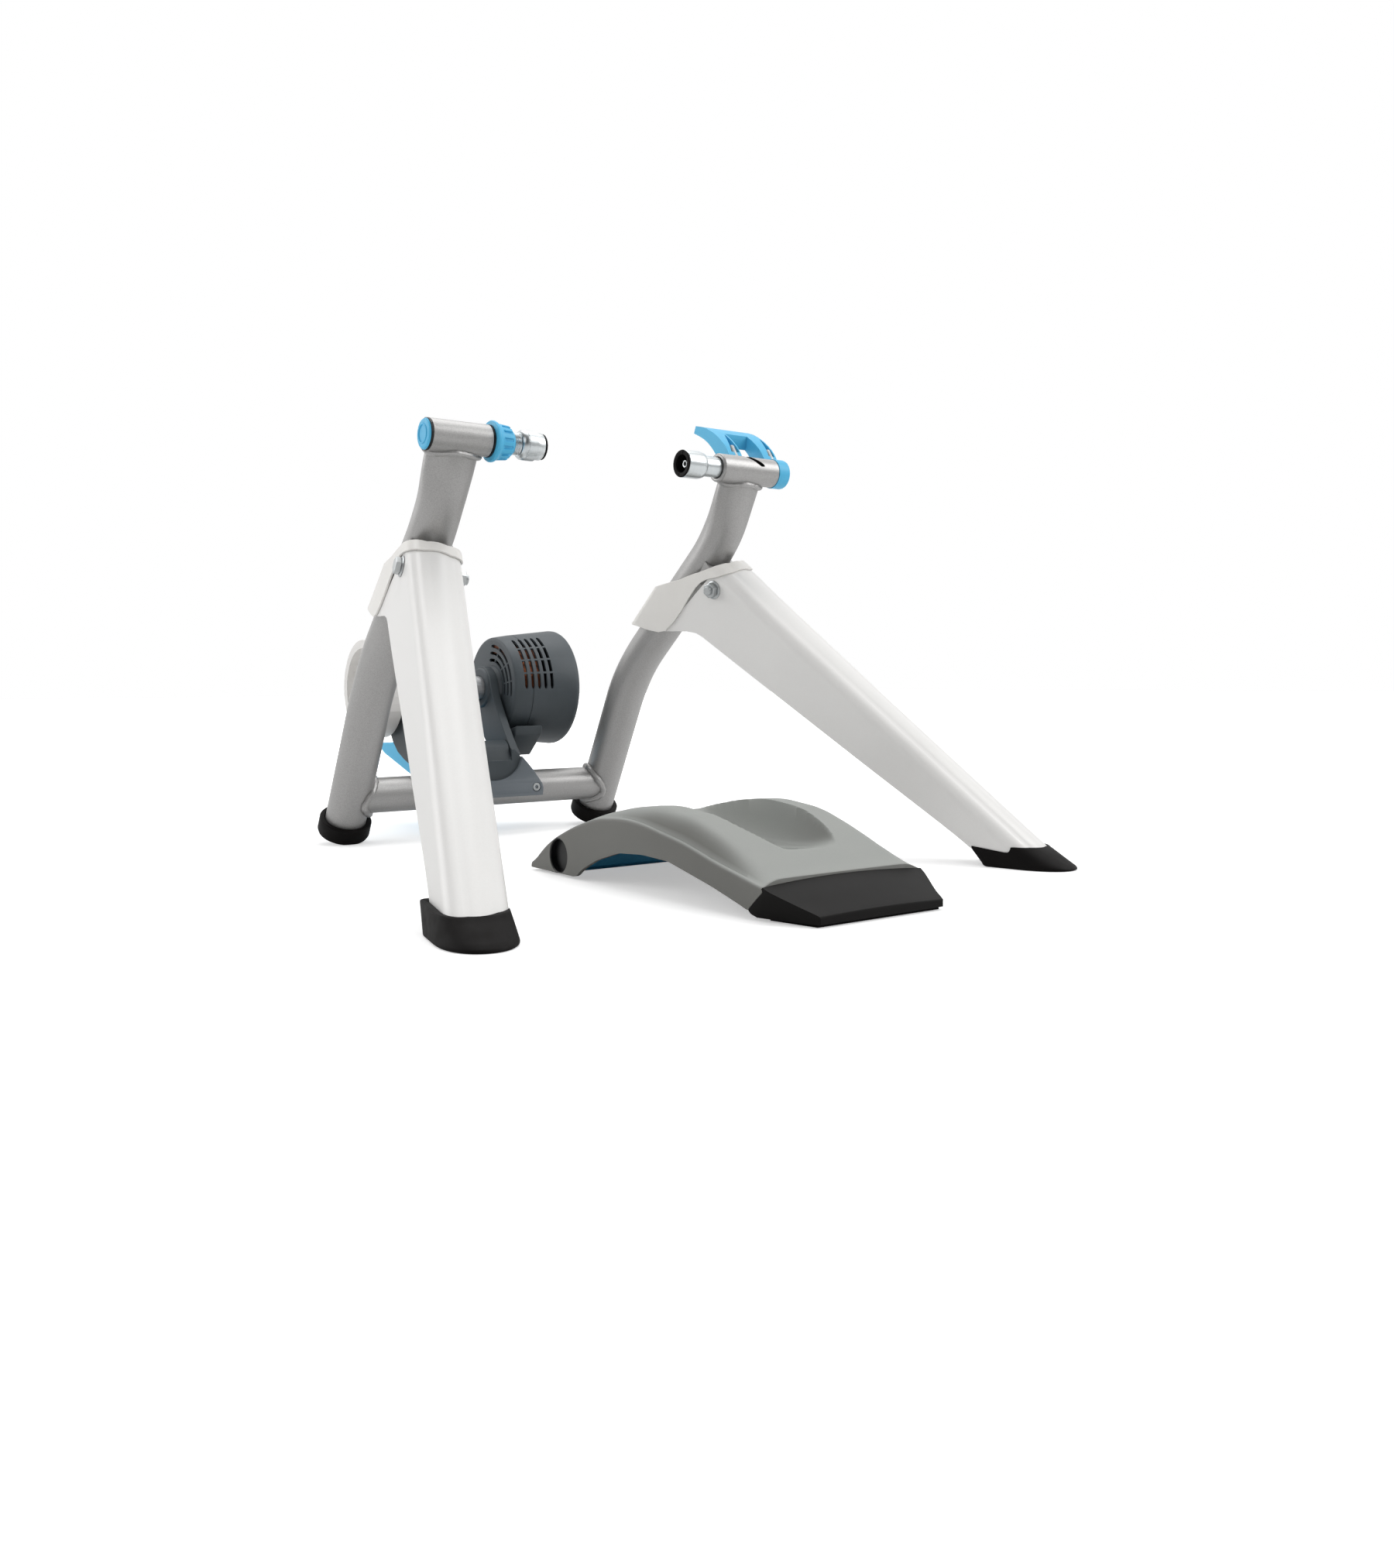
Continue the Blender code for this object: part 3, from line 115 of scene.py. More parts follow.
# The wheel block, by the distance y along it: height of its shoulders, crest and underside, and half width
BLOCK_X = -0.0095
BLOCK_WALL = 0.004
BLOCK_EDGE = 0.0036
BLOCK_END = -0.002
SEAM_Y = -0.345
WHEEL_R = 0.34
TROUGH = (-0.225, 0.036)
SPOON = (-0.2, 0.1265, 0.048)
GROOVE = (-0.215, 0.079, 0.0125)
SIDE_HOLE = (-0.054, 0.0187)
SIDE_HOLE_R = 0.016
SHOULDER = ((-0.345, 0.026), (-0.253, 0.0505), (-0.19, 0.0615), (-0.16, 0.063), (-0.12, 0.06),
    (-0.078, 0.048), (-0.04, 0.033), (-0.016, 0.018), (-0.002, 0.0055))
CREST = ((-0.345, 0.0296), (-0.293, 0.0565), (-0.25, 0.07), (-0.2, 0.0745), (-0.16, 0.0715),
    (-0.12, 0.0635), (-0.078, 0.05), (-0.04, 0.0345), (-0.016, 0.019), (-0.002, 0.006))
UNDERSIDE = ((-0.345, 0.007), (-0.335, 0.01), (-0.233, 0.033), (-0.195, 0.0345), (-0.158, 0.032),
    (-0.122, 0.022), (-0.097, 0.011), (-0.085, 0.0025))
HALF_WIDTH = ((-0.345, 0.084), (-0.2, 0.0865), (-0.002, 0.087))

SIDES = (("left", -1.0), ("right", 1.0))


# Materials
def linear(code):
    """An sRGB hex colour as the linear value a shader takes."""
    parts = [int(code[k:k + 2], 16) / 255.0 for k in (1, 3, 5)]
    return (*[c / 12.92 if c <= 0.04045 else ((c + 0.055) / 1.055) ** 2.4 for c in parts], 1.0)


def add(tree, kind, inputs=None, **settings):
    """Adds one node with its settings, and the values or links of its inputs."""
    made = tree.nodes.new("ShaderNode" + kind)
    for name, value in settings.items():
        setattr(made, name, value)
    for key, value in (inputs or {}).items():
        socket = made.inputs[key]
        if isinstance(value, bpy.types.NodeSocket):
            tree.links.new(value, socket)
        else:
            socket.default_value = value
    return made


def finish(name, colours, roughness, grain, depth, metal=0.0, mottle=25.0, uneven=0.05,
        stretch=(1.0, 1.0, 1.0), grit=0.5, shine=0.5):
    """A surface with fine grain and faint mottling between two colours.

    Grain, its depth and mottle are in millimetres. Uneven is how far the roughness wanders, stretch lengthens
    the grain, and grit is how much of the colour change follows the grain.
    """
    material = bpy.data.materials.new(name)
    material.use_nodes = True
    tree = material.node_tree
    shader = tree.nodes["Principled BSDF"]
    shader.inputs["Metallic"].default_value = metal
    shader.inputs["Specular IOR Level"].default_value = shine
    spot = add(tree, "TexCoord").outputs["Object"]
    laid = add(tree, "Mapping", {"Vector": spot, "Scale": stretch}).outputs["Vector"]
    noises = []
    for size, detail in ((grain, 2.0), (mottle, 3.0)):
        inputs = {"Vector": laid, "Scale": 1000.0 / size, "Detail": detail}
        noises.append(add(tree, "TexNoise", inputs).outputs["Fac"])
    fine, broad = noises
    mixed = add(tree, "Mix", {0: grit, 2: broad, 3: fine}).outputs[0]
    share = add(tree, "MapRange", {0: mixed, 1: 0.3, 2: 0.7}).outputs[0]
    first, second = [linear(code) for code in colours]
    tone = add(tree, "Mix", {0: share, 6: first, 7: second}, data_type="RGBA")
    tree.links.new(tone.outputs[2], shader.inputs["Base Color"])
    rough = add(tree, "MapRange", {0: broad, 1: 0.3, 2: 0.7, 3: roughness - uneven, 4: roughness + uneven})
    tree.links.new(rough.outputs[0], shader.inputs["Roughness"])
    bump = add(tree, "Bump", {"Strength": 0.5, "Distance": depth / 1000.0, "Height": fine})
    tree.links.new(bump.outputs[0], shader.inputs["Normal"])
    return material


# Powder coat over steel tube, metallic grey: a soft sheen and a sparkling grain, coarser than the real flake
grey_coat = finish("powder_coat_metallic_grey", ("#9b9a99", "#b2b1b0"), 0.44, 0.9, 0.022, metal=0.72,
    mottle=60.0, uneven=0.02, grit=0.85)
# Powder coat over pressed steel, off-white: nearly flat colour with a broad satin highlight
white_coat = finish("powder_coat_off_white", ("#dedddb", "#e2e1df"), 0.34, 1.4, 0.01, mottle=60.0,
    uneven=0.03)
# Glass-filled nylon, off-white: a shade warmer and duller than the painted legs
white_nylon = finish("nylon_off_white", ("#dedcd8", "#e3e1dd"), 0.42, 0.8, 0.012)
# Thermoplastic rubber, brown black: matt, with scuffed paler clouds
black_rubber = finish("rubber_brown_black", ("#080606", "#0e0b0a"), 0.6, 0.7, 0.04, mottle=14.0,
    uneven=0.06, shine=0.12)
# Moulded rubber skin over the block's nose: smoother, with a low satin shine
nose_rubber = finish("rubber_satin_black", ("#080706", "#0c0a09"), 0.5, 0.6, 0.01, mottle=50.0, uneven=0.03,
    shine=0.14)
# Moulded nylon, sky blue: satin, faintly spark-eroded skin
sky_nylon = finish("nylon_sky_blue", ("#4db0da", "#55b6df"), 0.44, 0.6, 0.01, mottle=60.0, uneven=0.02,
    shine=0.35)
# Same nylon in the block's foot, a lighter and deeper blue as painted light on the bar
foot_nylon_painted_light = finish("nylon_sky_blue_painted_light", ("#45b5ea", "#52bdee"), 0.42, 0.6, 0.015)
# Zinc plated steel, passivated: bright and bluish, with lathe lines 0.3 mm apart round the axis
bright_zinc = finish("zinc_plated_steel", ("#c6cccf", "#d9dddd"), 0.3, 0.35, 0.002, metal=1.0, mottle=24.0,
    uneven=0.01, stretch=(1.0, 0.04, 0.04))
# Zinc plated fasteners: the same plating, cast rather than turned
zinc_fastener = finish("zinc_plated_fastener", ("#aaaeb0", "#c2c5c5"), 0.34, 0.8, 0.012, metal=0.85,
    mottle=12.0, uneven=0.04)
# ABS, black: cup liners, seals and plugs
black_plastic = finish("abs_black", ("#0d0d0f", "#151516"), 0.42, 0.7, 0.02, shine=0.35)
# ABS, dark slate, spark-eroded skin 0.5 mm coarse: a fine stipple that kills the gloss
slate_abs = finish("abs_slate", ("#3a4145", "#444b50"), 0.52, 0.55, 0.05, mottle=30.0, uneven=0.03)
# The same ABS in the saddle, a paler and bluer copy: painted light on the saddle's lit front
saddle_abs_painted_light = finish("abs_slate_painted_light", ("#646b71", "#6e757b"), 0.55, 0.55, 0.04, mottle=40.0, uneven=0.03)
# Ground steel: shafts and bearing rings, nearly a mirror
ground_steel = finish("ground_steel", ("#c9c9c9", "#dededd"), 0.22, 0.5, 0.01, metal=1.0, mottle=30.0)
# Machined steel, the flywheel's face: even, near-white and little metal, a painted reflection of the room
flywheel_steel_painted_reflection = finish("machined_steel_painted_reflection", ("#dedcd9", "#e6e4e1"), 0.36, 0.5, 0.006, metal=0.25,
    mottle=40.0, uneven=0.03)
# Anodised aluminium with a blasted skin: the roller, pale and matt
roller_skin = finish("anodised_aluminium_blasted", ("#a9aaac", "#b8b9ba"), 0.45, 0.8, 0.03, metal=0.6)
# Enamelled copper wire, wound 0.9 mm apart, deep behind the vents: its brown darkened as painted shade
copper_wire_painted_shade = finish("enamelled_copper_wire", ("#43200f", "#77401f"), 0.36, 0.9, 0.15, metal=0.7,
    mottle=5.0, stretch=(0.05, 1.0, 1.0))
# ABS, mid grey, stippled: the wheel block, dry and even; painted shade darkens its steep faces
block_abs = finish("abs_mid_grey", ("#8c8f8c", "#969894"), 0.55, 0.6, 0.04, mottle=60.0, uneven=0.03)
tree = block_abs.node_tree
colour_in = tree.nodes["Principled BSDF"].inputs["Base Color"]
# Painted shade: a share stored on the block's vertices mixes its colour towards dark grey
painted_shade = add(tree, "Attribute", attribute_name="painted_shade").outputs["Fac"]
even = colour_in.links[0].from_socket
shade = add(tree, "Mix", {0: painted_shade, 6: even, 7: linear("#6a6a66")}, data_type="RGBA")
tree.links.new(shade.outputs[2], colour_in)


# Shaping
def level(table, value):
    """Straight-line reading of a table of (position, size) pairs that rises in position."""
    if value <= table[0][0]:
        return table[0][1]
    for (low, first), (high, second) in zip(table, table[1:]):
        if value <= high:
            return first + (second - first) * (value - low) / (high - low)
    return table[-1][1]


def eased(table, value, reach):
    """The same reading with its corners rounded over this reach."""
    return sum(level(table, value + reach * k / 4.0) for k in range(-4, 5)) / 9.0


def ease(value):
    value = min(1.0, max(0.0, value))
    return value * value * (3.0 - 2.0 * value)


def turns(count):
    """A full turn in even steps, in radians."""
    return [tau * k / count for k in range(count)]


def arc(centre, r, start, end, count):
    """Points on a circle, angles in degrees."""
    angles = [radians(start + (end - start) * k / (count - 1)) for k in range(count)]
    return [(centre[0] + r * cos(a), centre[1] + r * sin(a)) for a in angles]


def shifted(base, *points):
    """A run of a profile whose first numbers are counted from a base."""
    return [(base + along, r) for along, r in points]


def flat(pair):
    return Vector((0.0, pair[0], pair[1]))


def round_spot(x, line, r, angle):
    """A point at a radius round a line along X."""
    a = radians(angle)
    return Vector((x, line[0] + r * cos(a), line[1] + r * sin(a)))


def tidy(mesh):
    bmesh.ops.remove_doubles(mesh, verts=mesh.verts, dist=1e-6)
    bmesh.ops.recalc_face_normals(mesh, faces=mesh.faces)
    return mesh


def loop(mesh, points, closed=True):
    """A ring or chain of edges through points."""
    verts = [mesh.verts.new(point) for point in points]
    pairs = list(zip(verts, verts[1:]))
    if closed:
        pairs.append((verts[-1], verts[0]))
    return [mesh.edges.new(pair) for pair in pairs]


def loft(rows, closed=True, caps=True, endless=False):
    """Bridges rows of points, one after another."""
    mesh = bmesh.new()
    chains = [loop(mesh, row, closed) for row in rows]
    pairs = list(zip(chains, chains[1:]))
    if endless:
        pairs.append((chains[-1], chains[0]))
    for low, high in pairs:
        bmesh.ops.bridge_loops(mesh, edges=low + high)
    if closed and caps and not endless:
        for chain in (chains[0], chains[-1]):
            bmesh.ops.contextual_create(mesh, geom=chain)
    return tidy(mesh)


def spun(profile, centre, axis=(1.0, 0.0, 0.0), steps=64, closed=False):
    """Turns a profile of (distance along the axis, radius) points a full turn."""
    mesh = bmesh.new()
    axis = Vector(axis).normalized()
    side = axis.orthogonal().normalized()
    base = Vector(centre)
    edges = loop(mesh, [base + axis * a + side * r for a, r in profile], closed)
    bmesh.ops.spin(mesh, geom=mesh.verts[:] + edges, cent=base, axis=axis, dvec=(0.0, 0.0, 0.0), angle=tau,
        steps=steps, use_merge=True)
    return tidy(mesh)


def spun_x(profile, line, steps=64, closed=False):
    return spun(profile, (0.0, line[0], line[1]), (1.0, 0.0, 0.0), steps, closed)


def rod(low, high, r, line, steps=64):
    """A plain round bar along X."""
    return spun_x([(low, 0.0), (low, r), (high, r), (high, 0.0)], line, steps)


def plate(points, push):
    """A plate from a flat outline, as thick as the push."""
    mesh = bmesh.new()
    face = bmesh.ops.contextual_create(mesh, geom=loop(mesh, points))["faces"]
    grown = bmesh.ops.extrude_face_region(mesh, geom=face)["geom"]
    bmesh.ops.translate(mesh, verts=[g for g in grown if isinstance(g, bmesh.types.BMVert)], vec=push)
    return tidy(mesh)


def slab(outline, low, high):
    """A plate between two X positions with this (y, z) outline."""
    return plate([(low, y, z) for y, z in outline], (high - low, 0.0, 0.0))


def cut_below(mesh, height):
    """Takes off what lies below a height and leaves the cut open."""
    bmesh.ops.bisect_plane(mesh, geom=mesh.verts[:] + mesh.edges[:] + mesh.faces[:],
        plane_co=(0.0, 0.0, height), plane_no=(0.0, 0.0, -1.0), clear_outer=True)
    return mesh


def face_out(mesh, centre):
    """Turns the faces of an open shell away from a point inside it."""
    if sum((face.calc_center_median() - centre).dot(face.normal) for face in mesh.faces) < 0.0:
        bmesh.ops.reverse_faces(mesh, faces=mesh.faces)
    return mesh


def sink(mesh, depth_at):
    """Moves vertices towards the clamps' axis by what depth_at says for x, radius and angle."""
    for vert in mesh.verts:
        out = vert.co.z - AXLE[1]
        reach = hypot(vert.co.y, out)
        depth = depth_at(vert.co.x, reach, atan2(out, vert.co.y))
        if depth:
            vert.co.y *= (reach - depth) / reach
            vert.co.z = AXLE[1] + out * (reach - depth) / reach
    return mesh


def holder(name, mesh):
    data = bpy.data.meshes.new(name)
    mesh.to_mesh(data)
    mesh.free()
    item = bpy.data.objects.new(name, data)
    bpy.context.scene.collection.objects.link(item)
    return item


def carve(mesh, *tools, operation="DIFFERENCE"):
    """Cuts or joins closed shapes and gives the result back."""
    item = holder("blank", mesh)
    guides = []
    for tool in tools:
        guide = holder("tool", tool)
        step = item.modifiers.new("cut", "BOOLEAN")
        step.operation = operation
        step.object = guide
        guides.append(guide)
    made = bmesh.new()
    made.from_mesh(item.evaluated_get(bpy.context.evaluated_depsgraph_get()).to_mesh())
    for spent in [item] + guides:
        bpy.data.objects.remove(spent, do_unlink=True)
    return made


def fused(*meshes):
    """Several closed shapes as one mesh, left as they are."""
    data = bpy.data.meshes.new("together")
    whole = bmesh.new()
    for mesh in meshes:
        mesh.to_mesh(data)
        whole.from_mesh(data)
        mesh.free()
    return whole


def merged(node):
    """A copy of a node's mesh in the trainer's own frame, with its loose triangles joined."""
    mesh = bmesh.new()
    mesh.from_mesh(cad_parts[node].data)
    bmesh.ops.remove_doubles(mesh, verts=mesh.verts, dist=2e-6)
    bmesh.ops.dissolve_limit(mesh, angle_limit=radians(0.5), verts=mesh.verts, edges=mesh.edges)
    bmesh.ops.translate(mesh, verts=mesh.verts, vec=(0.0, -AXLE_Y, 0.0))
    return mesh


def piece(name, mesh, body, material, nodes=(), wall=0.0, bevel=0.0, rounds=2, sharp=32.0):
    """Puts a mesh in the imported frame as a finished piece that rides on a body."""
    bmesh.ops.translate(mesh, verts=mesh.verts, vec=(0.0, AXLE_Y, 0.0))
    item = holder(name, mesh)
    item.data.shade_smooth()
    item.data.materials.append(material)
    if wall:
        step = item.modifiers.new("wall", "SOLIDIFY")
        step.thickness = wall
        step.offset = -1.0
        step.use_even_offset = True
    if bevel:
        step = item.modifiers.new("edges", "BEVEL")
        step.width = bevel
        step.segments = rounds
        step.limit_method = "ANGLE"
        step.angle_limit = radians(sharp)
        step.harden_normals = True
    else:
        item.data.set_sharp_from_angle(angle=radians(sharp))
    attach(item, body)
    if nodes:
        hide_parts(*nodes)
    return item


def repaint(item, material, chosen):
    """Gives a second material to the faces whose centre is chosen."""
    item.data.materials.append(material)
    for polygon in item.data.polygons:
        if chosen(polygon.center):
            polygon.material_index = 1


def leaned(spot, sign):
    """The uprights stand a little closer together at the floor."""
    return Vector((spot[0] + sign * eased(UPRIGHT_X, spot[2], 0.012), spot[1], spot[2]))


def lean(mesh, sign):
    for vert in mesh.verts:
        vert.co = leaned(vert.co, sign)
    return mesh


def bead(points, r, ripple):
    """A weld bead: a bumpy cord laid along a closed line."""
    rows = []
    for k, point in enumerate(points):
        way = (points[(k + 1) % len(points)] - points[k - 1]).normalized()
        side = way.cross(Vector((0.31, 0.87, 0.38))).normalized()
        other = way.cross(side)
        size = r * (1.0 + ripple * sin(k * tau / 3.0) + ripple * 1.3 * sin(k * 0.71))
        rows.append([point + (side * cos(a) + other * sin(a)) * size for a in turns(10)])
    return loft(rows, endless=True)


# Uprights
upper_way = (flat(UPPER_BEND) - flat(TOP)).normalized()
middle_way = (flat(LOWER_BEND) - flat(UPPER_BEND)).normalized()
lower_way = (flat(FLOOR_POINT) - flat(LOWER_BEND)).normalized()
lower_side = lower_way.cross(Vector((1.0, 0.0, 0.0)))
upper_side = upper_way.cross(Vector((1.0, 0.0, 0.0)))
sole = flat(FLOOR_POINT) + lower_way * ((FOOT_R * lower_way.y - 0.0022) / lower_way.z)


def bend(corner, before, after, radius, count):
    """Stations round one bend, each a point and a direction."""
    turn = before.angle(after)
    start = flat(corner) - before * radius * tan(turn / 2.0)
    inward = (after - before * after.dot(before)).normalized()
    centre = start + inward * radius
    stations = []
    for k in range(count):
        a = turn * k / (count - 1)
        stations.append((centre - inward * radius * cos(a) + before * radius * sin(a),
            before * cos(a) + inward * sin(a)))
    return stations


def saddle_spots(grow, clear, steps):
    """The upright's pinched head, cut to the axle tube's round underside."""
    spots = []
    for a in turns(steps):
        spot = flat(TOP) + upper_side * ((PINCH[1] + grow) * sin(a))
        spot.x += (PINCH[0] + grow) * cos(a)
        away = (spot - flat(AXLE)).dot(upper_side)
        depth = max(0.008, sqrt(max(0.0, clear ** 2 - away ** 2)))
        spots.append(spot + upper_way * (depth - (spot - flat(AXLE)).dot(upper_way)))
    return spots


def upright(sign):
    path = [(flat(TOP) + upper_way * s, upper_way) for s in (PINCH_END, 0.0255, 0.031, 0.0365, 0.042)]
    path += bend(UPPER_BEND, upper_way, middle_way, 0.185, 12)
    path += bend(LOWER_BEND, middle_way, lower_way, 0.25, 12)
    path.append((sole - lower_way * 0.005, lower_way))
    rows = [saddle_spots(0.0, TUBE_R + GAP, 56)]
    travelled, last = PINCH_END, path[0][0]
    for point, way in path:
        travelled += (point - last).length
        last = point
        share = ease((travelled - PINCH_END) / PINCH_RUN)
        wide = PINCH[0] + (UPRIGHT_R - PINCH[0]) * share
        deep = PINCH[1] + (UPRIGHT_R - PINCH[1]) * share
        side = way.cross(Vector((1.0, 0.0, 0.0)))
        rows.append([point + Vector((wide * cos(a), 0.0, 0.0)) + side * deep * sin(a) for a in turns(56)])
    return lean(loft(rows), sign)


def bar_spots(r, sign, clear, steps):
    """A line round the crossbar where it meets the upright's side."""
    spots = []
    for a in turns(steps):
        spot = flat((BAR[0] + r * cos(a), BAR[1] + r * sin(a)))
        away = (spot - flat(FLOOR_POINT)).dot(lower_side)
        spot.x = sign * (eased(UPRIGHT_X, spot.z, 0.012) - sqrt(max(0.0, clear ** 2 - away ** 2)))
        spots.append(spot)
    return spots


for side, sign in SIDES:
    piece(f"{side}_upright_tube", upright(sign), "stand", grey_coat, [f"{side}_upright"], bevel=0.0005,
        sharp=50.0)
    line = [leaned(spot + upper_way * 0.0012, sign) for spot in saddle_spots(0.0006, TUBE_R, 72)]
    piece(f"{side}_head_weld", bead(line, 0.0034, 0.07), "stand", grey_coat)
    line = bar_spots(BAR_R + 0.001, sign, UPRIGHT_R + 0.001, 60)
    piece(f"{side}_crossbar_weld", bead(line, 0.004, 0.09), "stand", grey_coat)
    cup = [(0.0, 0.0), (0.0, FOOT_R - 0.004), (0.0012, FOOT_R - 0.0012), (0.004, FOOT_R), (0.0185, FOOT_R),
        (0.0197, FOOT_R - 0.0008), (0.02, FOOT_R - 0.0022), (0.0198, UPRIGHT_R + 0.0014),
        (0.0188, UPRIGHT_R + 0.0005), (0.0047, UPRIGHT_R + 0.0005), (0.0047, 0.0)]
    cap = cut_below(spun(cup, sole, -lower_way, 72), 0.0)
    bmesh.ops.edgeloop_fill(cap, edges=[edge for edge in cap.edges if edge.is_boundary])
    piece(f"{side}_rear_foot_cup", lean(cap, sign), "stand", black_rubber, [f"{side}_rear_foot"])

crossbar = loft([bar_spots(BAR_R, sign, UPRIGHT_R + GAP, 56) for side, sign in SIDES])
piece("crossbar_tube", crossbar, "stand", grey_coat, ["crossbar"], sharp=50.0)


# Axle tubes
def sleeve(ends, steps):
    low, high = ends
    return spun_x([(low, BORE_R), (low, TUBE_R), (high, TUBE_R), (high, BORE_R)], AXLE, steps, True)


piece("left_axle_sleeve", sleeve(LEFT_TUBE_X, 72), "stand", grey_coat, ["left_axle_tube"], bevel=0.0006,
    rounds=3)
rows = []
for k in range(25):
    turn = SLOT[0][0] + (SLOT[-1][0] - SLOT[0][0]) * k / 24.0
    x = eased(SLOT, turn, 10.0)
    away = min(1.0, (k + 0.35) / 3.0, (24.35 - k) / 3.0)
    half = SLOT_HALF * sqrt(max(0.02, 1.0 - (1.0 - away) ** 2))
    rows.append([round_spot(x + way * half, AXLE, r, 90.0 - turn)
        for r, way in ((0.011, -1.0), (0.011, 1.0), (0.019, 1.0), (0.019, -1.0))])
slotted = piece("right_axle_sleeve", carve(sleeve(RIGHT_TUBE_X, 96), loft(rows)), "stand", grey_coat,
    ["right_axle_tube"], bevel=0.0005, rounds=2, sharp=40.0)


def in_slot(spot):
    reach = hypot(spot.y - AXLE_Y, spot.z - AXLE[1])
    return 0.155 < spot.x < 0.195 and BORE_R + 0.0004 < reach < TUBE_R - 0.0004


repaint(slotted, black_plastic, in_slot)

rim_x = RIGHT_TUBE_X[0] - GAP
rim = shifted(rim_x, (-0.0016, 0.0118), (-0.0018, 0.0124), (-0.0018, 0.0134), (-0.0014, 0.0146),
    (-0.0006, 0.0152), (0.0, TUBE_R), (0.0, 0.0118))
piece("right_tube_rim", spun_x(rim, AXLE, 96, True), "stand", grey_coat, ["right_tube_seal"], sharp=45.0)
wiper = shifted(rim_x, (-0.0008, PLAIN_R + GAP), (-0.001, 0.0115), (0.0, 0.0115), (0.0, PLAIN_R + GAP))
piece("right_tube_wiper", spun_x(wiper, AXLE, 64, True), "stand", black_plastic, sharp=45.0)

# Left clamp
cap_x = LEFT_TUBE_X[0] - GAP - 0.0018
cap = shifted(cap_x, (-0.0022, 0.0), (-0.0022, 0.0078), (-0.0031, 0.0081), (-0.0034, 0.0087),
    (-0.0031, 0.0093), (-0.0024, 0.0096), (-0.0026, 0.0116), (-0.0018, 0.0137), (-GAP, 0.0147),
    (-GAP, BORE_R - GAP))
cap += shifted(LEFT_TUBE_X[0], (0.011, BORE_R - GAP), (0.011, 0.0))
piece("left_end_plug", spun_x(cap, AXLE, 64), "stand", sky_nylon, ["left_end_cap"], bevel=0.0002)

GRIPS = 14.0
GRIP_X = (0.0076, 0.0188)
grip_slope = [(0.007 + 0.0008 * k, 0.0175 - 0.00008 * k) for k in range(14)]
ring = shifted(RING_X, (0.0, SPINDLE_R + GAP), (0.0, 0.018), (0.0006, 0.0193), (0.0014, 0.0197),
    (0.003, 0.0197), (0.0042, 0.0192), (0.0056, 0.018), (0.0066, 0.0176), *grip_slope, (0.018, 0.0161),
    (0.0186, 0.0148), (0.019, 0.0138))
ring += shifted(RING_X + RING_LONG, (-0.0008, 0.0128), (0.0, 0.012), (0.0, SPINDLE_R + GAP))


def grip_depth(x, reach, angle):
    """Finger grooves round the lock ring."""
    along = x - RING_X
    if not GRIP_X[0] < along < GRIP_X[1] or reach <= 0.0142:
        return 0.0
    turn = angle * GRIPS / tau
    near = abs(turn - round(turn)) * 2.0
    return 0.0017 * ease((0.46 - near) / 0.08) * ease((along - GRIP_X[0]) / 0.0016)


piece("lock_ring_grip", sink(spun_x(ring, AXLE, 224, True), grip_depth), "lock_ring_body", sky_nylon,
    ["lock_ring"], sharp=38.0)

THREAD_X = -0.15
THREAD_STEP = 0.0003
THREAD_PITCH = 0.0015
neck_x = LEFT_CUP_X[0] - GAP
screw = [(-0.186, 0.0), (-0.186, SPINDLE_R - 0.001), (-0.185, SPINDLE_R), (-0.1503, SPINDLE_R)]
thread_steps = int((neck_x - THREAD_X) / THREAD_STEP) + 1
screw += [(THREAD_X + THREAD_STEP * k, SPINDLE_R) for k in range(thread_steps)]
screw += [(neck_x, SPINDLE_R - 0.0003), (neck_x, NECK_R)] + shifted(LEFT_CUP_X[0], (0.006, NECK_R),
    (0.006, 0.0))


def thread_depth(x, reach, angle):
    """A two-start thread."""
    if reach <= SPINDLE_R - 0.0001 or not THREAD_X + 0.0005 < x < LEFT_CUP_X[0] - 0.0006:
        return 0.0
    turn = x / THREAD_PITCH - 2.0 * angle / tau
    return 0.00085 * abs(2.0 * (turn % 1.0) - 1.0)


piece("left_screw_spindle", sink(spun_x(screw, AXLE, 48), thread_depth), "left_slide", bright_zinc,
    ["left_spindle"], sharp=60.0)
cup = shifted(LEFT_CUP_X[0], (0.0, NECK_R + GAP), (0.0, 0.0112), (0.0012, 0.0128), (0.003, 0.0142),
    (0.0052, 0.0147), (0.0056, 0.0142), (0.006, 0.0147), (0.0158, 0.0147), (0.0162, 0.0133))
cup += shifted(LEFT_CUP_X[1], (-0.0008, 0.0131), (0.0, 0.0126), (0.0, CUP_BORE_R))
cup += shifted(LEFT_CUP_X[0], (0.007, CUP_BORE_R), (0.007, NECK_R + GAP))
piece("left_axle_cup", spun_x(cup, AXLE, 72, True), "left_slide", bright_zinc, ["left_cup"], bevel=0.0002)

# Right clamp
mouth_x, back_x = RIGHT_CUP_X
cup = shifted(back_x, (0.0, NECK_R + GAP), (0.0, 0.0122), (-0.001, 0.0132), (-0.0045, 0.0142),
    (-0.006, 0.0145))
cup += shifted(mouth_x, (0.0006, 0.0145), (0.0, 0.014), (0.0, CUP_BORE_R))
cup += shifted(back_x, (-0.007, CUP_BORE_R), (-0.007, NECK_R + GAP))
piece("right_axle_cup", spun_x(cup, AXLE, 72, True), "right_slide", bright_zinc, ["right_cup"],
    bevel=0.0003)
liner = shifted(back_x, (-0.0074, 0.0062), (-0.0074, CUP_BORE_R - GAP))
liner += shifted(mouth_x, (-GAP, CUP_BORE_R - GAP), (-GAP, 0.0142), (-0.0012, 0.0145), (-0.0021, 0.014),
    (-0.0021, 0.0108), (-0.0012, 0.0096))
liner += shifted(back_x, (-0.0095, 0.0086), (-0.0095, 0.0062))
notches = []
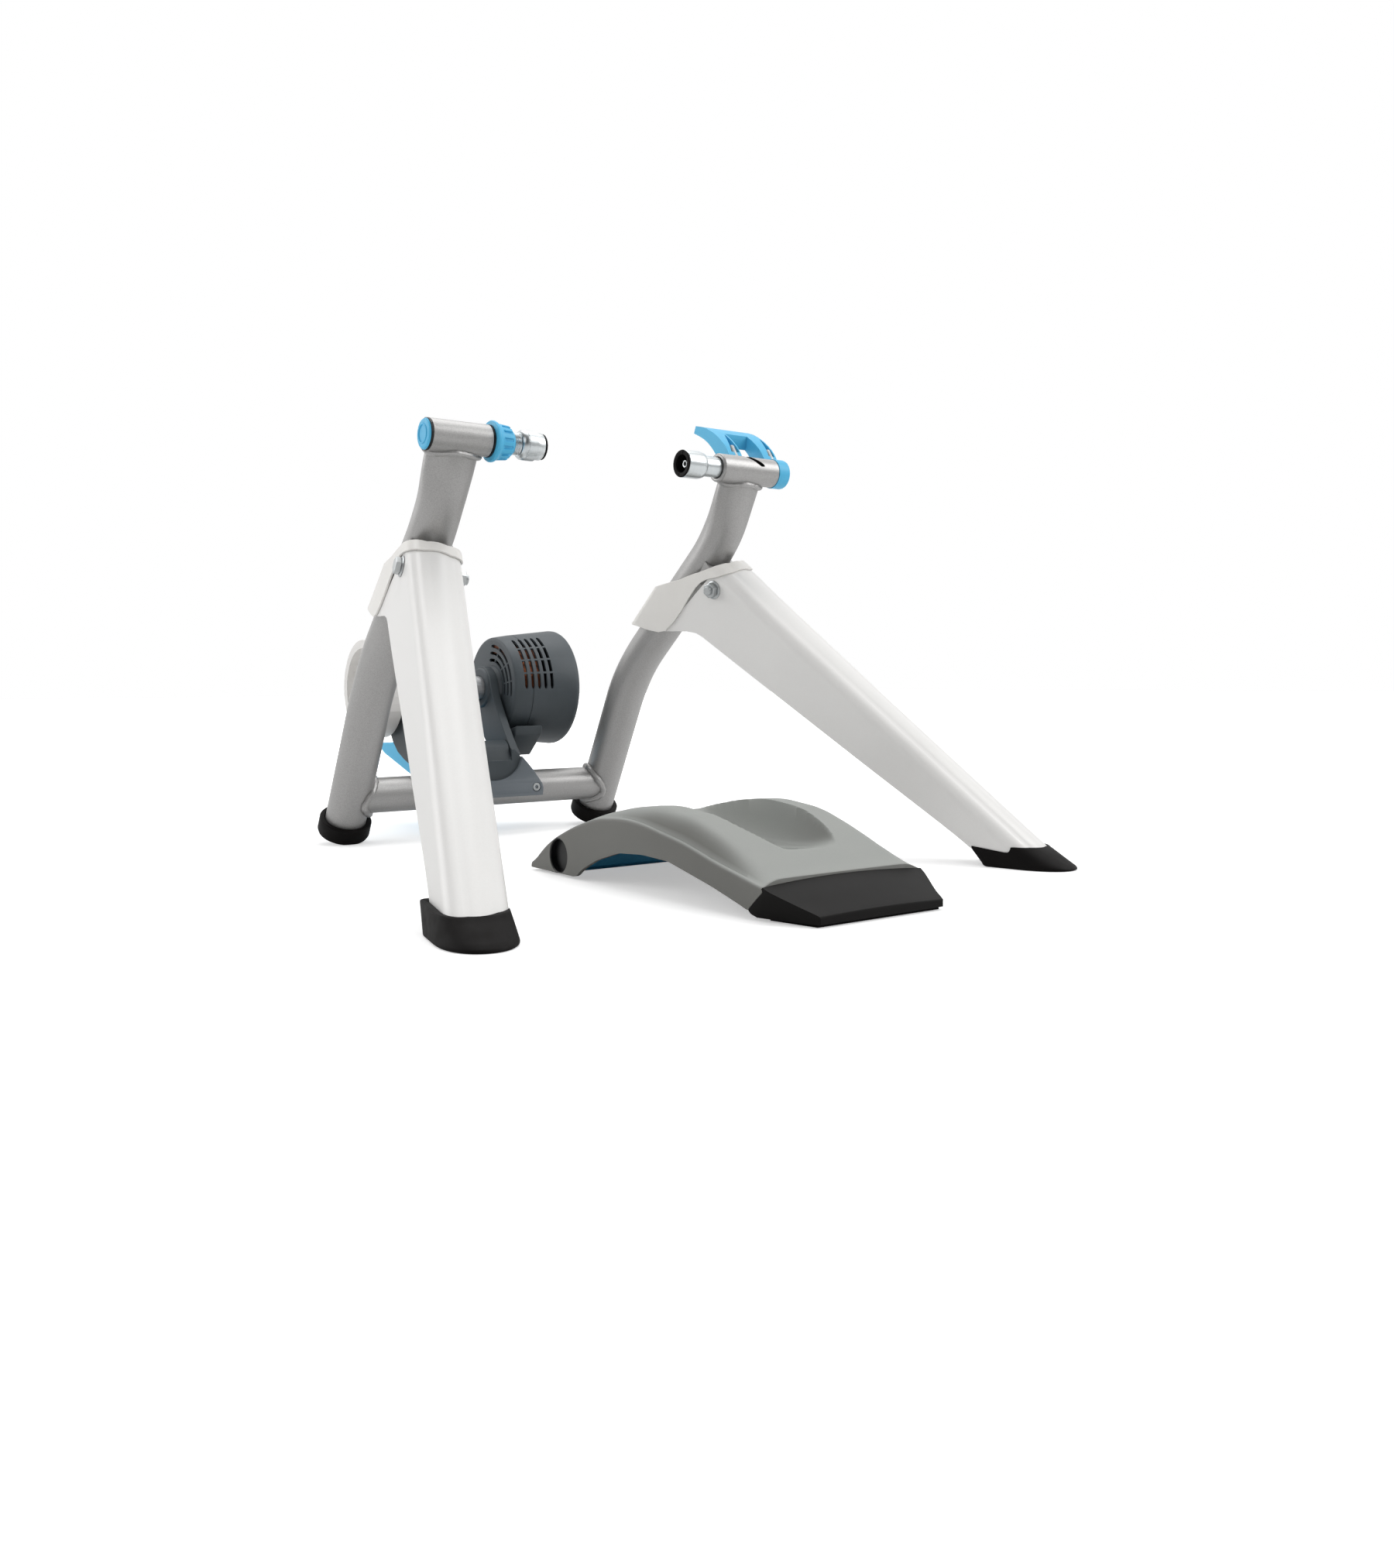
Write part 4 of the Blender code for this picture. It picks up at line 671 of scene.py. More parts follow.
for turn in (20.0, 110.0, 200.0, 290.0):
    notch = bmesh.new()
    place = Matrix.Translation(round_spot(mouth_x - 0.0022, AXLE, 0.012, turn))
    bmesh.ops.create_cube(notch, size=1.0, matrix=place @ Matrix.Rotation(radians(turn), 4, "X")
        @ Matrix.Diagonal((0.0012, 0.003, 0.0012, 1.0)))
    notches.append(notch)
piece("right_cup_insert", carve(spun_x(liner, AXLE, 96, True), *notches), "right_slide", black_rubber,
    ["right_cup_liner"], sharp=40.0)
socket = shifted(back_x, (-0.006, 0.0), (-0.006, 0.0026), (-0.0135, 0.0026), (-0.0218, 0.0026),
    (-0.022, 0.003), (-0.022, 0.0041), (-0.006, 0.0043), (-0.006, 0.0))
piece("right_cup_socket_screw", spun_x(socket, AXLE, 6), "right_slide", zinc_fastener)

shaft_end = HUB_X[1] - 0.003
shaft = shifted(back_x, (-0.006, 0.0), (-0.006, NECK_R), (GAP, NECK_R), (GAP, PLAIN_R - 0.0006),
    (0.0008, PLAIN_R))
shaft += [(0.1325, PLAIN_R), (0.133, PLAIN_R - 0.0001), (shaft_end, PLAIN_R - 0.0001), (shaft_end, 0.0)]
spindle = piece("right_plain_spindle", spun_x(shaft, AXLE, 64), "lever", bright_zinc, ["right_spindle"],
    sharp=40.0)
repaint(spindle, black_plastic, lambda spot: spot.x > 0.145)


def on_axle(points):
    """(y, z) points counted from the clamps' axis."""
    return [(y, z + AXLE[1]) for y, z in points]


clear_r = TUBE_R + 0.0005
upper_edge = [(0.0702, 0.0584), (0.0595, 0.0558), (0.05, 0.0525), (0.04, 0.0473), (0.0305, 0.0412),
    (0.0235, 0.0357), (0.017, 0.0297), (0.0125, 0.0242), (0.0086, 0.0182)]
ridge = upper_edge[::-1]
paddle = upper_edge + arc((0.0, 0.0), clear_r - 0.003, 68.0, 22.0, 8)
paddle += [(0.024, 0.0125), (0.0288, 0.0168), (0.033, 0.0213), (0.037, 0.026), (0.041, 0.0302),
    (0.0475, 0.0361), (0.055, 0.0413), (0.064, 0.0461), (0.0738, 0.0506)]
window = [(-0.02, -0.01), (-0.02, 0.08), (0.0392, 0.08), (0.0392, 0.0425), (0.0402, 0.0375), (0.043, 0.032),
    (0.052, 0.02), (0.04, -0.01)]
hub = [(HUB_X[0], 0.0), (HUB_X[0], HUB_R)]
hub += shifted(HUB_X[1], (-0.003, HUB_R), (-0.0012, HUB_R - 0.0005), (-0.0003, HUB_R - 0.0018),
    (0.0, HUB_R - 0.0035), (0.0, 0.0))
stop = RIGHT_TUBE_X[1] + GAP
bore = [(0.1, 0.0), (0.1, clear_r), (stop, clear_r), (stop, PLAIN_R + GAP),
    (shaft_end + GAP, PLAIN_R + GAP), (shaft_end + GAP, 0.0)]
lever = carve(slab(on_axle(paddle), LEVER_X, HUB_X[1]), spun_x(hub, AXLE, 96), operation="UNION")
lever = carve(lever, spun_x(bore, AXLE, 96), slab(on_axle(window), *WINDOW_X))
pockets = []
POCKET_Y = (0.0108, 0.036)
screw_way = Vector((0.0, sin(radians(34.0)), cos(radians(34.0))))
screw = [(0.016, 0.0), (0.016, 0.0035), (0.0338, 0.0035), (0.0346, 0.0028), (0.0346, 0.0018),
    (0.0322, 0.0018), (0.0322, 0.0)]
for name, node, x, wide_from, wide_to in (
        ("lever_slot_screw", "lever_screw_slot", 0.1655, (0.1598, 0.1711), (0.1692, 0.1702)),
        ("lever_hub_screw", "lever_screw_end", 0.2162, (0.2122, 0.2206), (0.2192, 0.2203))):
    rows = []
    for k in range(9):
        y = POCKET_Y[0] + (POCKET_Y[1] - POCKET_Y[0]) * k / 8.0
        low, high = [a + (b - a) * k / 8.0 for a, b in zip(wide_from, wide_to)]
        crown = level(ridge, y) + AXLE[1]
        rows.append([Vector((spot, y, crown + lift)) for spot, lift in (
            (low, -0.009), (high, -0.009), (high, 0.02), (low, 0.02))])
    pockets.append(loft(rows))
    piece(name, spun(screw, (x, 0.0, AXLE[1]), screw_way, 40), "lever", zinc_fastener, [node], sharp=40.0)
piece("clamp_lever_moulding", carve(lever, *pockets), "lever", sky_nylon, ["clamp_lever"], bevel=0.0009,
    rounds=3, sharp=38.0)

# Front legs
down = (BOOT - PIVOT).normalized()
middle = (leaned((0.0, *LOWER_BEND), 1.0) - leaned((0.0, *UPPER_BEND), 1.0)).normalized()
inward = middle.cross(down).normalized()
if inward.x > 0.0:
    inward.negate()
rise = inward.cross(down)


def leg_point(sign, u, v, n):
    """A point at u down the leg, v up from its pivot line and n towards the other leg."""
    spot = PIVOT + down * u + rise * v + inward * n
    return Vector((spot.x * sign, spot.y, spot.z))


def channel(edge, web, half, grow=0.0):
    """(n, v) points of the leg's outer skin from one lip over the web to the other."""
    half, top, corner = half + grow, web + grow, LEG_CORNER + grow
    points = [(half, edge + (top - LEG_CROWN - corner - edge) * k / 4.0) for k in range(4)]
    points += arc((half - corner, top - LEG_CROWN - corner), corner, 0.0, 90.0, 11)
    points += [((half - corner) * k, top - LEG_CROWN * k * k) for k in (0.75, 0.5, 0.25, 0.0)]
    return [(-n, v) for n, v in points[:-1]] + points[::-1]


def leg_row(sign, u):
    foot_u = level(HEAD, u)
    edge = level(EDGE, foot_u) if u < 0.05 else eased(EDGE, foot_u, 0.03)
    web = eased(WEB, u, 0.02)
    row = []
    for n, v in channel(edge, web, eased(LEG_HALF, u, 0.02)):
        share = (web - v) / (web - edge)
        row.append(leg_point(sign, u + (foot_u - u) * share, v, n))
    return row


def drop_row(sign, height, section):
    """A section of the leg's end, cut level at a height."""
    way = Vector((down.x * sign, down.y, down.z))
    starts = [leg_point(sign, 0.42, v, n) for n, v in section]
    return [start + way * ((height - start.z) / down.z) for start in starts]


# Edges of the collar's side, (u, v) each
COLLAR_LOW = ((-0.055, -0.1015), (-0.05, -0.0986), (-0.041, -0.0935), (-0.0335, -0.0855), (-0.0285, -0.07),
    (-0.0252, -0.05), (-0.0238, -0.03), (-0.0215, -0.013), (-0.0185, -0.004), (-0.0135, 0.004))
COLLAR_HIGH = ((-0.0525, -0.0275), (-0.049, -0.024), (-0.0445, -0.0185), (-0.04, -0.012),
    (-0.0365, -0.0075), (-0.033, -0.003), (-0.03, 0.0008), (-0.027, 0.004), (-0.024, 0.008),
    (-0.021, 0.0115))


def collar_rows(sign):
    """The band round the upright, from its lower to its upper edge."""
    half = LEG_HALF[0][1] + GAP + COLLAR_WALL
    back, front = 0.01, LEG_CORNER + GAP + COLLAR_WALL
    web = WEB[0][1] + GAP + COLLAR_WALL
    low_slope = (STRAP_LOW[1] + 0.087) / (STRAP_LOW[0] + 0.032)
    high_slope = (STRAP_HIGH[1] + 0.024) / (STRAP_HIGH[0] + 0.049)
    stations = []
    for n, angle in [(0.0, 0.0), (half - back, 0.0)] + [(None, 11.25 * k) for k in range(1, 9)]:
        a = radians(angle)
        reach = back * (1.0 - cos(a))
        n = n if n is not None else half - back + back * sin(a)
        stations.append(((STRAP_LOW[0] + reach, STRAP_LOW[1] + low_slope * reach),
            (STRAP_HIGH[0] + reach, STRAP_HIGH[1] + high_slope * reach), n))
    stations += [(low, high, half) for low, high in zip(COLLAR_LOW, COLLAR_HIGH)]
    for k in range(1, 12):
        a = radians(90.0 * k / 11)
        v = web - LEG_CROWN - front * (1.0 - sin(a))
        stations.append(((level(((0.004, -0.0135), (0.017, -0.0013), (0.028, 0.006)), v), v),
            (level(((0.0115, -0.021), (0.03, -0.0085)), v), v), half - front + front * cos(a)))
    for k in range(1, 5):
        v = web - LEG_CROWN * (1.0 - k / 4.0) ** 2
        stations.append(((0.006, v), (-0.008, v), (half - front) * (1.0 - k / 4.0)))
    stations += [(low, high, -n) for low, high, n in stations[-2:0:-1]]
    return [[leg_point(sign, low[0] + (high[0] - low[0]) * share, low[1] + (high[1] - low[1]) * share, n)
        for low, high, n in stations] for share in (0.0, 0.25, 0.5, 0.75, 1.0)]


def boot_row(sign, share, height, dip, shrink=0.0):
    """D-shaped outline, flat at the rear and round at the front."""
    back, front, half = [low + (high - low) * share for low, high in zip(BOOT_FLOOR, BOOT_TOP)]
    back, front, half = back + shrink, front - shrink, half - shrink
    way = Vector((sin(BOOT_TURN), -cos(BOOT_TURN), 0.0))
    across = Vector((cos(BOOT_TURN), sin(BOOT_TURN), 0.0))
    reach = front - (front - back) * (0.54 - 0.1 * share)
    blunt = 0.94 - 0.2 * share
    corner = 0.005
    plan = [(back, 0.0), (back, -half * 0.5)]
    plan += [(back + corner * (1.0 - sin(a)), -half + corner * (1.0 - cos(a)))
        for a in [radians(90.0 - 22.5 * k) for k in range(5)]]
    plan += [(back + corner + (reach - back - corner) * k / 4.0, -half) for k in range(1, 5)]
    for k in range(1, 32):
        a = radians(180.0 * k / 32)
        swing = copysign(abs(cos(a)) ** blunt, cos(a))
        plan.append((reach + (front - reach) * sin(a) ** blunt, -half * swing))
    plan += [(along, -n) for along, n in plan[10:0:-1]]
    row = []
    for along, n in plan:
        spot = BOOT + way * along + across * n
        row.append(Vector((spot.x * sign, spot.y, height - dip * (along - back) / (front - back))))
    return row


def hexagon(low, high, size, axis, centre):
    """A bolt head or nut with its corners turned down."""
    corner = size / sqrt(3.0) * 0.985
    return spun([(low, 0.0), (low, size * 0.5), (low + 0.0005, corner), (high - 0.0005, corner),
        (high, size * 0.5), (high, 0.0)], centre, axis, 6)


for side, sign in SIDES:
    body = f"{side}_leg"
    stations = [-0.0075, -0.003, 0.002, 0.006, 0.01, 0.015, 0.02, 0.025, 0.03, 0.04, 0.05, 0.06]
    stations += [0.08 + 0.02 * k for k in range(20)]
    shell = cut_below(loft([leg_row(sign, u) for u in stations], closed=False), LEG_END_Z)
    piece(f"{side}_leg_channel", face_out(shell, leg_point(sign, 0.2, -0.01, 0.0)), body, white_coat,
        [f"{side}_leg_shell"], wall=LEG_WALL, bevel=0.0007, sharp=50.0)
    band = face_out(loft(collar_rows(sign), caps=False), leg_point(sign, -0.03, -0.03, 0.0))
    piece(f"{side}_collar_band", band, body, white_nylon, [f"{side}_leg_collar"], wall=COLLAR_WALL,
        bevel=0.0005, rounds=3, sharp=50.0)
    rows = [boot_row(sign, 0.0, 0.0, 0.0, 0.0016), boot_row(sign, 0.0, 0.0008, 0.0, 0.0004),
        boot_row(sign, 0.02, 0.0018, 0.0), boot_row(sign, 0.06, 0.0032, 0.0)]
    rows += [boot_row(sign, 0.06 + 0.9 * k / 5.0, 0.0032 + 0.019 * k / 5.0, BOOT_DIP * k / 5.0)
        for k in range(1, 6)]
    rows += [boot_row(sign, 0.99, BOOT_RIM - 0.0003, BOOT_DIP, 0.0003),
        boot_row(sign, 1.0, BOOT_RIM, BOOT_DIP, 0.001)]
    end_web, end_half = level(WEB, 0.4), level(LEG_HALF, 0.4)
    outer = channel(EDGE[-1][1] - 0.0007, end_web, end_half, 0.0007)
    inner = channel(EDGE[-1][1] + 0.0006, end_web - LEG_WALL - 0.0006, end_half - LEG_WALL - 0.0006)
    pocket = loft([drop_row(sign, height, outer + inner[::-1]) for height in (0.006, 0.045)])
    piece(f"{side}_boot_shoe", carve(loft(rows), pocket), body, black_rubber, [f"{side}_boot"], sharp=45.0)
    axis = Vector((inward.x * sign, inward.y, inward.z))
    pivot = leg_point(sign, 0.0, 0.0, 0.0)
    head = LEG_HALF[0][1] + GAP
    shank = [(-head, 0.0), (-head, BOLT_R), (head + 0.0104, BOLT_R), (head + 0.011, BOLT_R - 0.0006),
        (head + 0.011, 0.0)]
    washer = [(head + 0.0016, 0.0), (head + 0.0016, 0.0086), (head + 0.0007, 0.0102), (head, 0.0104),
        (head, 0.0)]
    bolt = fused(hexagon(-head - 0.0072, -head - 0.0014, BOLT_HEX, axis, pivot),
        spun([(-x, r) for x, r in washer], pivot, axis, 40), spun(shank, pivot, axis, 32))
    piece(f"{side}_fold_bolt", bolt, body, zinc_fastener, [f"{side}_pivot_bolt"], bevel=0.0003, sharp=28.0)
    nut = fused(hexagon(head + 0.0014, head + 0.0078, BOLT_HEX, axis, pivot),
        spun(washer[::-1], pivot, axis, 40))
    piece(f"{side}_fold_nut", nut, body, zinc_fastener, [f"{side}_pivot_nut"], bevel=0.0003, sharp=28.0)


# Drum
def vent_bar(corners, start, end, step, ends):
    """A cutter bent round the roller's axis, narrower at the ends that are asked for.

    Corners gives its (x, radius) corners for a share of its full width.
    """
    rows = []
    count = max(4, int(abs(end - start) / step))
    for k in range(count + 1):
        tip = (ends[0] and k == 0) or (ends[1] and k == count)
        angle = start + (end - start) * k / count
        rows.append([round_spot(x, ROLLER, r, angle) for x, r in corners(0.45 if tip else 1.0)])
    return loft(rows)


def vent_row(marks, gap, step, corners):
    """Four vents end to end between five angles, with a rib between them."""
    return [vent_bar(corners, marks[k] + (gap if k else 0.0), marks[k + 1] - (gap if k < 3 else 0.0), step,
        (k == 0, k == 3)) for k in range(4)]


def face_corners(r):
    low, high = DRUM_X[0] - 0.004, DRUM_X[0] + 0.008
    return lambda share: ((low, r - 0.002 * share), (low, r + 0.002 * share), (high, r + 0.002 * share),
        (high, r - 0.002 * share))


def skin_corners(x):
    low, high = 0.05, 0.075
    return lambda share: ((x - 0.0021 * share, low), (x + 0.0021 * share, low), (x + 0.0021 * share, high),
        (x - 0.0021 * share, high))


left, seam, right = DRUM_X
small, middle_r, large = DRUM_R
rim = right + 0.0013
inner_shell = [(left, 0.0145), (left, small - 0.004), (left + 0.0004, small - 0.0022),
    (left + 0.0014, small - 0.0008), (left + 0.0032, small), (seam - 0.0006, middle_r),
    (seam, middle_r - 0.0005), (seam, middle_r - DRUM_WALL), (left + DRUM_WALL + 0.002, small - DRUM_WALL),
    (left + DRUM_WALL, small - DRUM_WALL - 0.002), (left + DRUM_WALL, 0.0145)]
outer_shell = shifted(rim, (0.0, 0.0), (0.0, large - 0.008), (-0.0003, large - 0.0052),
    (-0.0012, large - 0.0026), (-0.0026, large - 0.0006), (-0.0046, large + 0.0004),
    (-0.008, large + 0.0006))
outer_shell += [(seam + GAP + 0.0006, middle_r + 0.0001), (seam + GAP, middle_r - 0.0004),
    (seam + GAP, middle_r - DRUM_WALL), (right - 0.008, large - DRUM_WALL),
    (right - DRUM_WALL, large - 0.012), (right - DRUM_WALL, 0.0)]
face_cutters, left_cutters, right_cutters = [], [], []
for r, marks in ((0.0525, (90, 113, 145, 171, 192)), (0.0437, (86, 111, 143, 171, 193)),
        (0.0349, (81, 106, 139, 171, 195)), (0.0261, (74, 99, 135, 170, 199))):
    face_cutters += vent_row(marks, degrees(0.0009 / r), 4.0, face_corners(r))
for x in [0.0628 + 0.0084 * column for column in range(5)]:
    for home, cutters in ((x < seam + 0.001, left_cutters), (x > seam - 0.003, right_cutters)):
        if home:
            cutters.extend(vent_row((114.5, 132.5, 148.8, 164.0, 181.0), 1.0, 2.5, skin_corners(x)))
shell_left = carve(spun_x(inner_shell, ROLLER, 160, True), fused(*face_cutters))
shell_left = carve(shell_left, fused(*left_cutters))
shell_right = carve(spun_x(outer_shell, ROLLER, 160), fused(*right_cutters))
piece("drum_inner_shell", shell_left, "unit", slate_abs, ["drum_inner_housing"], sharp=30.0)
piece("drum_outer_shell", shell_right, "unit", slate_abs, ["drum_outer_housing"], sharp=30.0)

# Bracket and arms
arm_plan = arc(ROLLER, ARM_TOP_R, -42.0, 160.0, 28)
arm_plan += [(0.3345, 0.1652), (0.321, 0.1455), (0.3081, 0.1275), (0.297, 0.113), (0.2863, 0.1009),
    (0.2798, 0.095), (0.2788, 0.0936), (0.29, 0.0905), (0.305, 0.088), (0.312, 0.0872), (0.325, 0.0915),
    (0.342, 0.099), (0.356, 0.1105), (0.368, 0.1265)]
for side, low, high in (("left", LEFT_ARM_X[0], LEFT_ARM_X[1] - 0.0006),
        ("right", RIGHT_ARM_X + 0.0006, RIGHT_ARM_X + 0.0108)):
    arm = carve(slab(arm_plan, low, high), rod(low - 0.01, high + 0.01, 0.0123, ROLLER),
        rod(low - 0.01, high + 0.01, 0.0043, UNIT_PIN, 32))
    piece(f"{side}_unit_arm", arm, "unit", slate_abs, ["unit_frame"], bevel=0.0009, rounds=3, sharp=40.0)
boss = shifted(RIGHT_ARM_X, (-0.0022, 0.0156), (-0.0022, 0.023), (-0.0016, 0.024), (0.0006, 0.0252),
    (0.0006, 0.0123), (-0.001, 0.0123), (-0.0016, 0.0146))
piece("right_arm_boss", spun_x(boss, ROLLER, 72, True), "unit", slate_abs, sharp=30.0)
lean_back = degrees(atan2(ROLLER[1] - UNIT_PIN[1], ROLLER[0] - UNIT_PIN[0]))
cowl = arc(ROLLER, ROLLER_R + 0.0065, lean_back - 40.0, lean_back - 120.0, 17)
cowl += arc(ROLLER, ROLLER_R + 0.003, lean_back - 120.0, lean_back - 40.0, 17)
piece("roller_cowl", slab(cowl, LEFT_ARM_X[1] - 0.0005, RIGHT_ARM_X + 0.0005), "unit", slate_abs,
    sharp=40.0)
neck = shifted(RIGHT_ARM_X, (0.0102, 0.014), (0.0102, 0.025))
neck += shifted(DRUM_X[0], (0.0004, 0.028), (0.0004, 0.014))
piece("drum_neck", spun_x(neck, ROLLER, 72, True), "unit", slate_abs, sharp=30.0)

# Saddle on the crossbar, with a raised cheek, a shallow round dish and room for the arms to swing
DISH = (0.0035, 0.0935)
half_plan = [(0.03, 0.101), (0.0345, 0.0965), (0.0399, 0.0905), (0.047, 0.0828), (0.0545, 0.074),
    (0.06, 0.0655), (0.0635, 0.0585)]
cheek = half_plan + [(0.0635, 0.054), (-0.0875, 0.054)] + [(-0.024 - x, z) for x, z in half_plan[::-1]]
saddle = carve(merged("unit_saddle"), plate([(x, 0.2668, z) for x, z in cheek], (0.0, 0.0075, 0.0)),
    operation="UNION")
dish = plate([(DISH[0] + 0.035 * cos(a), 0.255, DISH[1] + 0.029 * sin(a)) for a in turns(72)],
    (0.0, 0.0168, 0.0))
notch = plate([(x, 0.255, z) for x, z in ((-0.051, 0.088), (0.027, 0.088), (0.027, 0.12), (-0.051, 0.12))],
    (0.0, 0.0225, 0.0))
swings = [rod(low, high, 0.0243, UNIT_PIN) for low, high in (
    (LEFT_ARM_X[0] - 0.0006, LEFT_ARM_X[1] + 0.0002), (RIGHT_ARM_X, RIGHT_ARM_X + 0.0114))]
saddle = piece("unit_saddle_moulding", carve(saddle, dish, notch, *swings), "stand", saddle_abs_painted_light,
    ["unit_saddle"], bevel=0.0008, rounds=2, sharp=35.0)


def on_ear_or_shaded_dish(spot):
    back = spot.y - AXLE_Y
    in_dish = ((spot.x - DISH[0]) / 0.0345) ** 2 + ((spot.z - DISH[1]) / 0.0285) ** 2 < 1.0
    return (spot.z > 0.08 and back > 0.275) or (back > 0.271 and in_dish)


# The ear and the dish keep the darker slate ABS; in the dish it is painted shade in the hollow
repaint(saddle, slate_abs, on_ear_or_shaded_dish)
piece("plug_box_moulding", merged("plug_box"), "unit", slate_abs, ["plug_box"], bevel=0.0008, rounds=2,
    sharp=35.0)


# Wheel block
def rest(y):
    """Height of the trough's floor: the wheel's own circle, flatter at the front."""
    if y < TROUGH[0]:
        return TROUGH[1] + (y - TROUGH[0]) ** 2 / 1.1
    return TROUGH[1] + WHEEL_R - sqrt(WHEEL_R ** 2 - (y - TROUGH[0]) ** 2)


def block_top(x, y, half, shoulder, crest, inset):
    """Height of the block's skin, with the wheel's spoon-shaped rest sunk in it."""
    inward = max(0.0, half - BLOCK_EDGE - abs(x))
    z = shoulder + (crest - shoulder) * (1.0 - max(0.0, 1.0 - inward / 0.02) ** 2.4)
    reach = (abs(x) / (SPOON[2] + inset)) ** 2.5 + (abs(y - SPOON[0]) / (SPOON[1] + inset)) ** 2.5
    bottom = rest(y) - inset
    shelf = bottom + 0.0025
    if reach < 1.0 and z > shelf:
        sunk = 1.0 - max(0.0, 1.0 - (1.0 - reach) / 0.55) ** 3.0
        z -= (z - shelf) * sunk
        along = abs(y - GROOVE[0]) - GROOVE[1]
        away = hypot(max(0.0, along), x) if along > 0.0 else abs(x)
        z -= max(0.0, min(0.0025, z - bottom)) * ease((GROOVE[2] + inset + 0.0022 - away) / 0.003)
    return z


def seam_back(x, z, half, low, top):
    """How far the joint of block and nose stands off the seam's plane: bowed in plan, raked at the sides."""
    return -0.008 - 0.0015 * (x / half) ** 2 + 0.0175 * min(1.0, max(0.0, (top - z) / (top - low)))


def block_row(y, inset):
    """A section of the block's outer or inner skin."""
    half, shoulder = eased(HALF_WIDTH, y, 0.02) - inset, eased(SHOULDER, y, 0.012)
    low = min(eased(UNDERSIDE, y, 0.004), shoulder - 0.0012)
    crest = max(eased(CREST, y, 0.012), shoulder + 0.0004) - inset
    shoulder -= inset
    low = min(low, shoulder - 0.0008)
    turn = min(BLOCK_EDGE, (shoulder - low) * 0.6)
    points = [(half, low + (shoulder - turn - low) * k / 8.0) for k in range(8)]
    points += [(half - turn + turn * cos(a), shoulder - turn + turn * sin(a))
        for a in [radians(15.0 * k) for k in range(6)]]
    edge_steps, edge_step = 12, 0.0026
    for k in range(49):
        if k < edge_steps:
            x = half - BLOCK_EDGE - edge_step * k
        else:
            x = (half - BLOCK_EDGE - edge_step * edge_steps) * (1.0 - (k - edge_steps) / 36.0)
        points.append((x, block_top(x, y, half, shoulder, crest, inset)))
    whole = [(-x, z) for x, z in points[:-1]] + points[::-1]
    near = 1.0 - ease((y - SEAM_Y) / 0.06)
    return [Vector((BLOCK_X + x, y + near * seam_back(x, z, half, low, shoulder - turn), z))
        for x, z in whole]


rows = []
for k in range(151):
    y = SEAM_Y + (BLOCK_END - SEAM_Y) * k / 150.0
    rows.append(block_row(y, 0.0) + block_row(y, BLOCK_WALL)[::-1])
shell = loft(rows, caps=False)
for row in (rows[0], rows[-1]):
    half_count = len(row) // 2
    ends = [loop(shell, side, False) for side in (row[:half_count], row[half_count:])]
    bmesh.ops.bridge_loops(shell, edges=ends[0] + ends[1])
tidy(shell)
hole = rod(BLOCK_X - 0.12, BLOCK_X + 0.12, SIDE_HOLE_R + 0.0006, SIDE_HOLE)
foot = [(-0.015, 0.02), (-0.0155, 0.005), (-0.022, 0.0012), (-0.03, 0.0), (-0.04, 0.0), (-0.048, 0.0012),
    (-0.0545, 0.005), (-0.056, 0.02)]
piece("block_foot_moulding", slab(foot, BLOCK_X - 0.068, BLOCK_X + 0.068), "stand", foot_nylon_painted_light,
    ["block_foot_bar"], bevel=0.0008, sharp=40.0)
block = piece("block_moulding", carve(shell, hole), "stand", block_abs, ["block_shell"], sharp=34.0)
# Painted shade on the block: steep faces darkened fully on the outer sides, in the trough more towards its
# front
slope = block.data.attributes.new("painted_shade", "FLOAT", "POINT")
for vert, value in zip(block.data.vertices, slope.data):
    share = 1.0 if abs(vert.co.x - BLOCK_X) > 0.066 else 0.8 * ease((AXLE_Y - 0.2 - vert.co.y) / 0.12)
    value.value = ease((0.93 - vert.normal.z) / 0.5) * share
for side, sign in SIDES:
    lining = [(0.086, SIDE_HOLE_R - 0.0006), (0.0864, SIDE_HOLE_R), (0.086, SIDE_HOLE_R + 0.0004),
        (0.0812, SIDE_HOLE_R + 0.0004), (0.0812, 0.0)]
    lining = spun_x([(BLOCK_X + sign * x, r) for x, r in lining], SIDE_HOLE, 64)
    piece(f"block_{side}_hole_lining", lining, "stand", black_plastic)


def nose_row(y, half, side_top, crown, low):
    """A section of the nose: a crowned top, a ridge on each side, and sides that run back below."""
    points = [(half * k / 10.0, side_top + crown * (1.0 - (k / 10.0) ** 2)) for k in range(-10, 11)]
    points += [(half - 0.0002, side_top + (low - side_top) * k / 5.0) for k in range(1, 6)]
    points += [(-x, z) for x, z in points[-1:-6:-1]]
    near = ease((y + 0.392) / (SEAM_Y + 0.392))
    return [Vector((BLOCK_X + x, y + near * seam_back(x, z, half, low, side_top), z)) for x, z in points]


stations = ((SEAM_Y - GAP, 0.084, 0.0266, 0.0034, 0.007), (-0.348, 0.0836, 0.0252, 0.0034, 0.0045),
    (-0.353, 0.0822, 0.0232, 0.0034, 0.0024), (-0.364, 0.078, 0.0196, 0.0032, 0.0022),
    (-0.376, 0.0735, 0.016, 0.003, 0.0022), (-0.386, 0.0696, 0.0128, 0.0023, 0.0022),
    (-0.395, 0.066, 0.0098, 0.0016, 0.0022), (-0.3978, 0.065, 0.0086, 0.0014, 0.0023),
    (-0.3985, 0.0645, 0.007, 0.0012, 0.003))
nose = loft([nose_row(*station) for station in stations])
piece("block_nose_cap", nose, "stand", nose_rubber, ["block_nose"], bevel=0.0007, rounds=2, sharp=24.0)

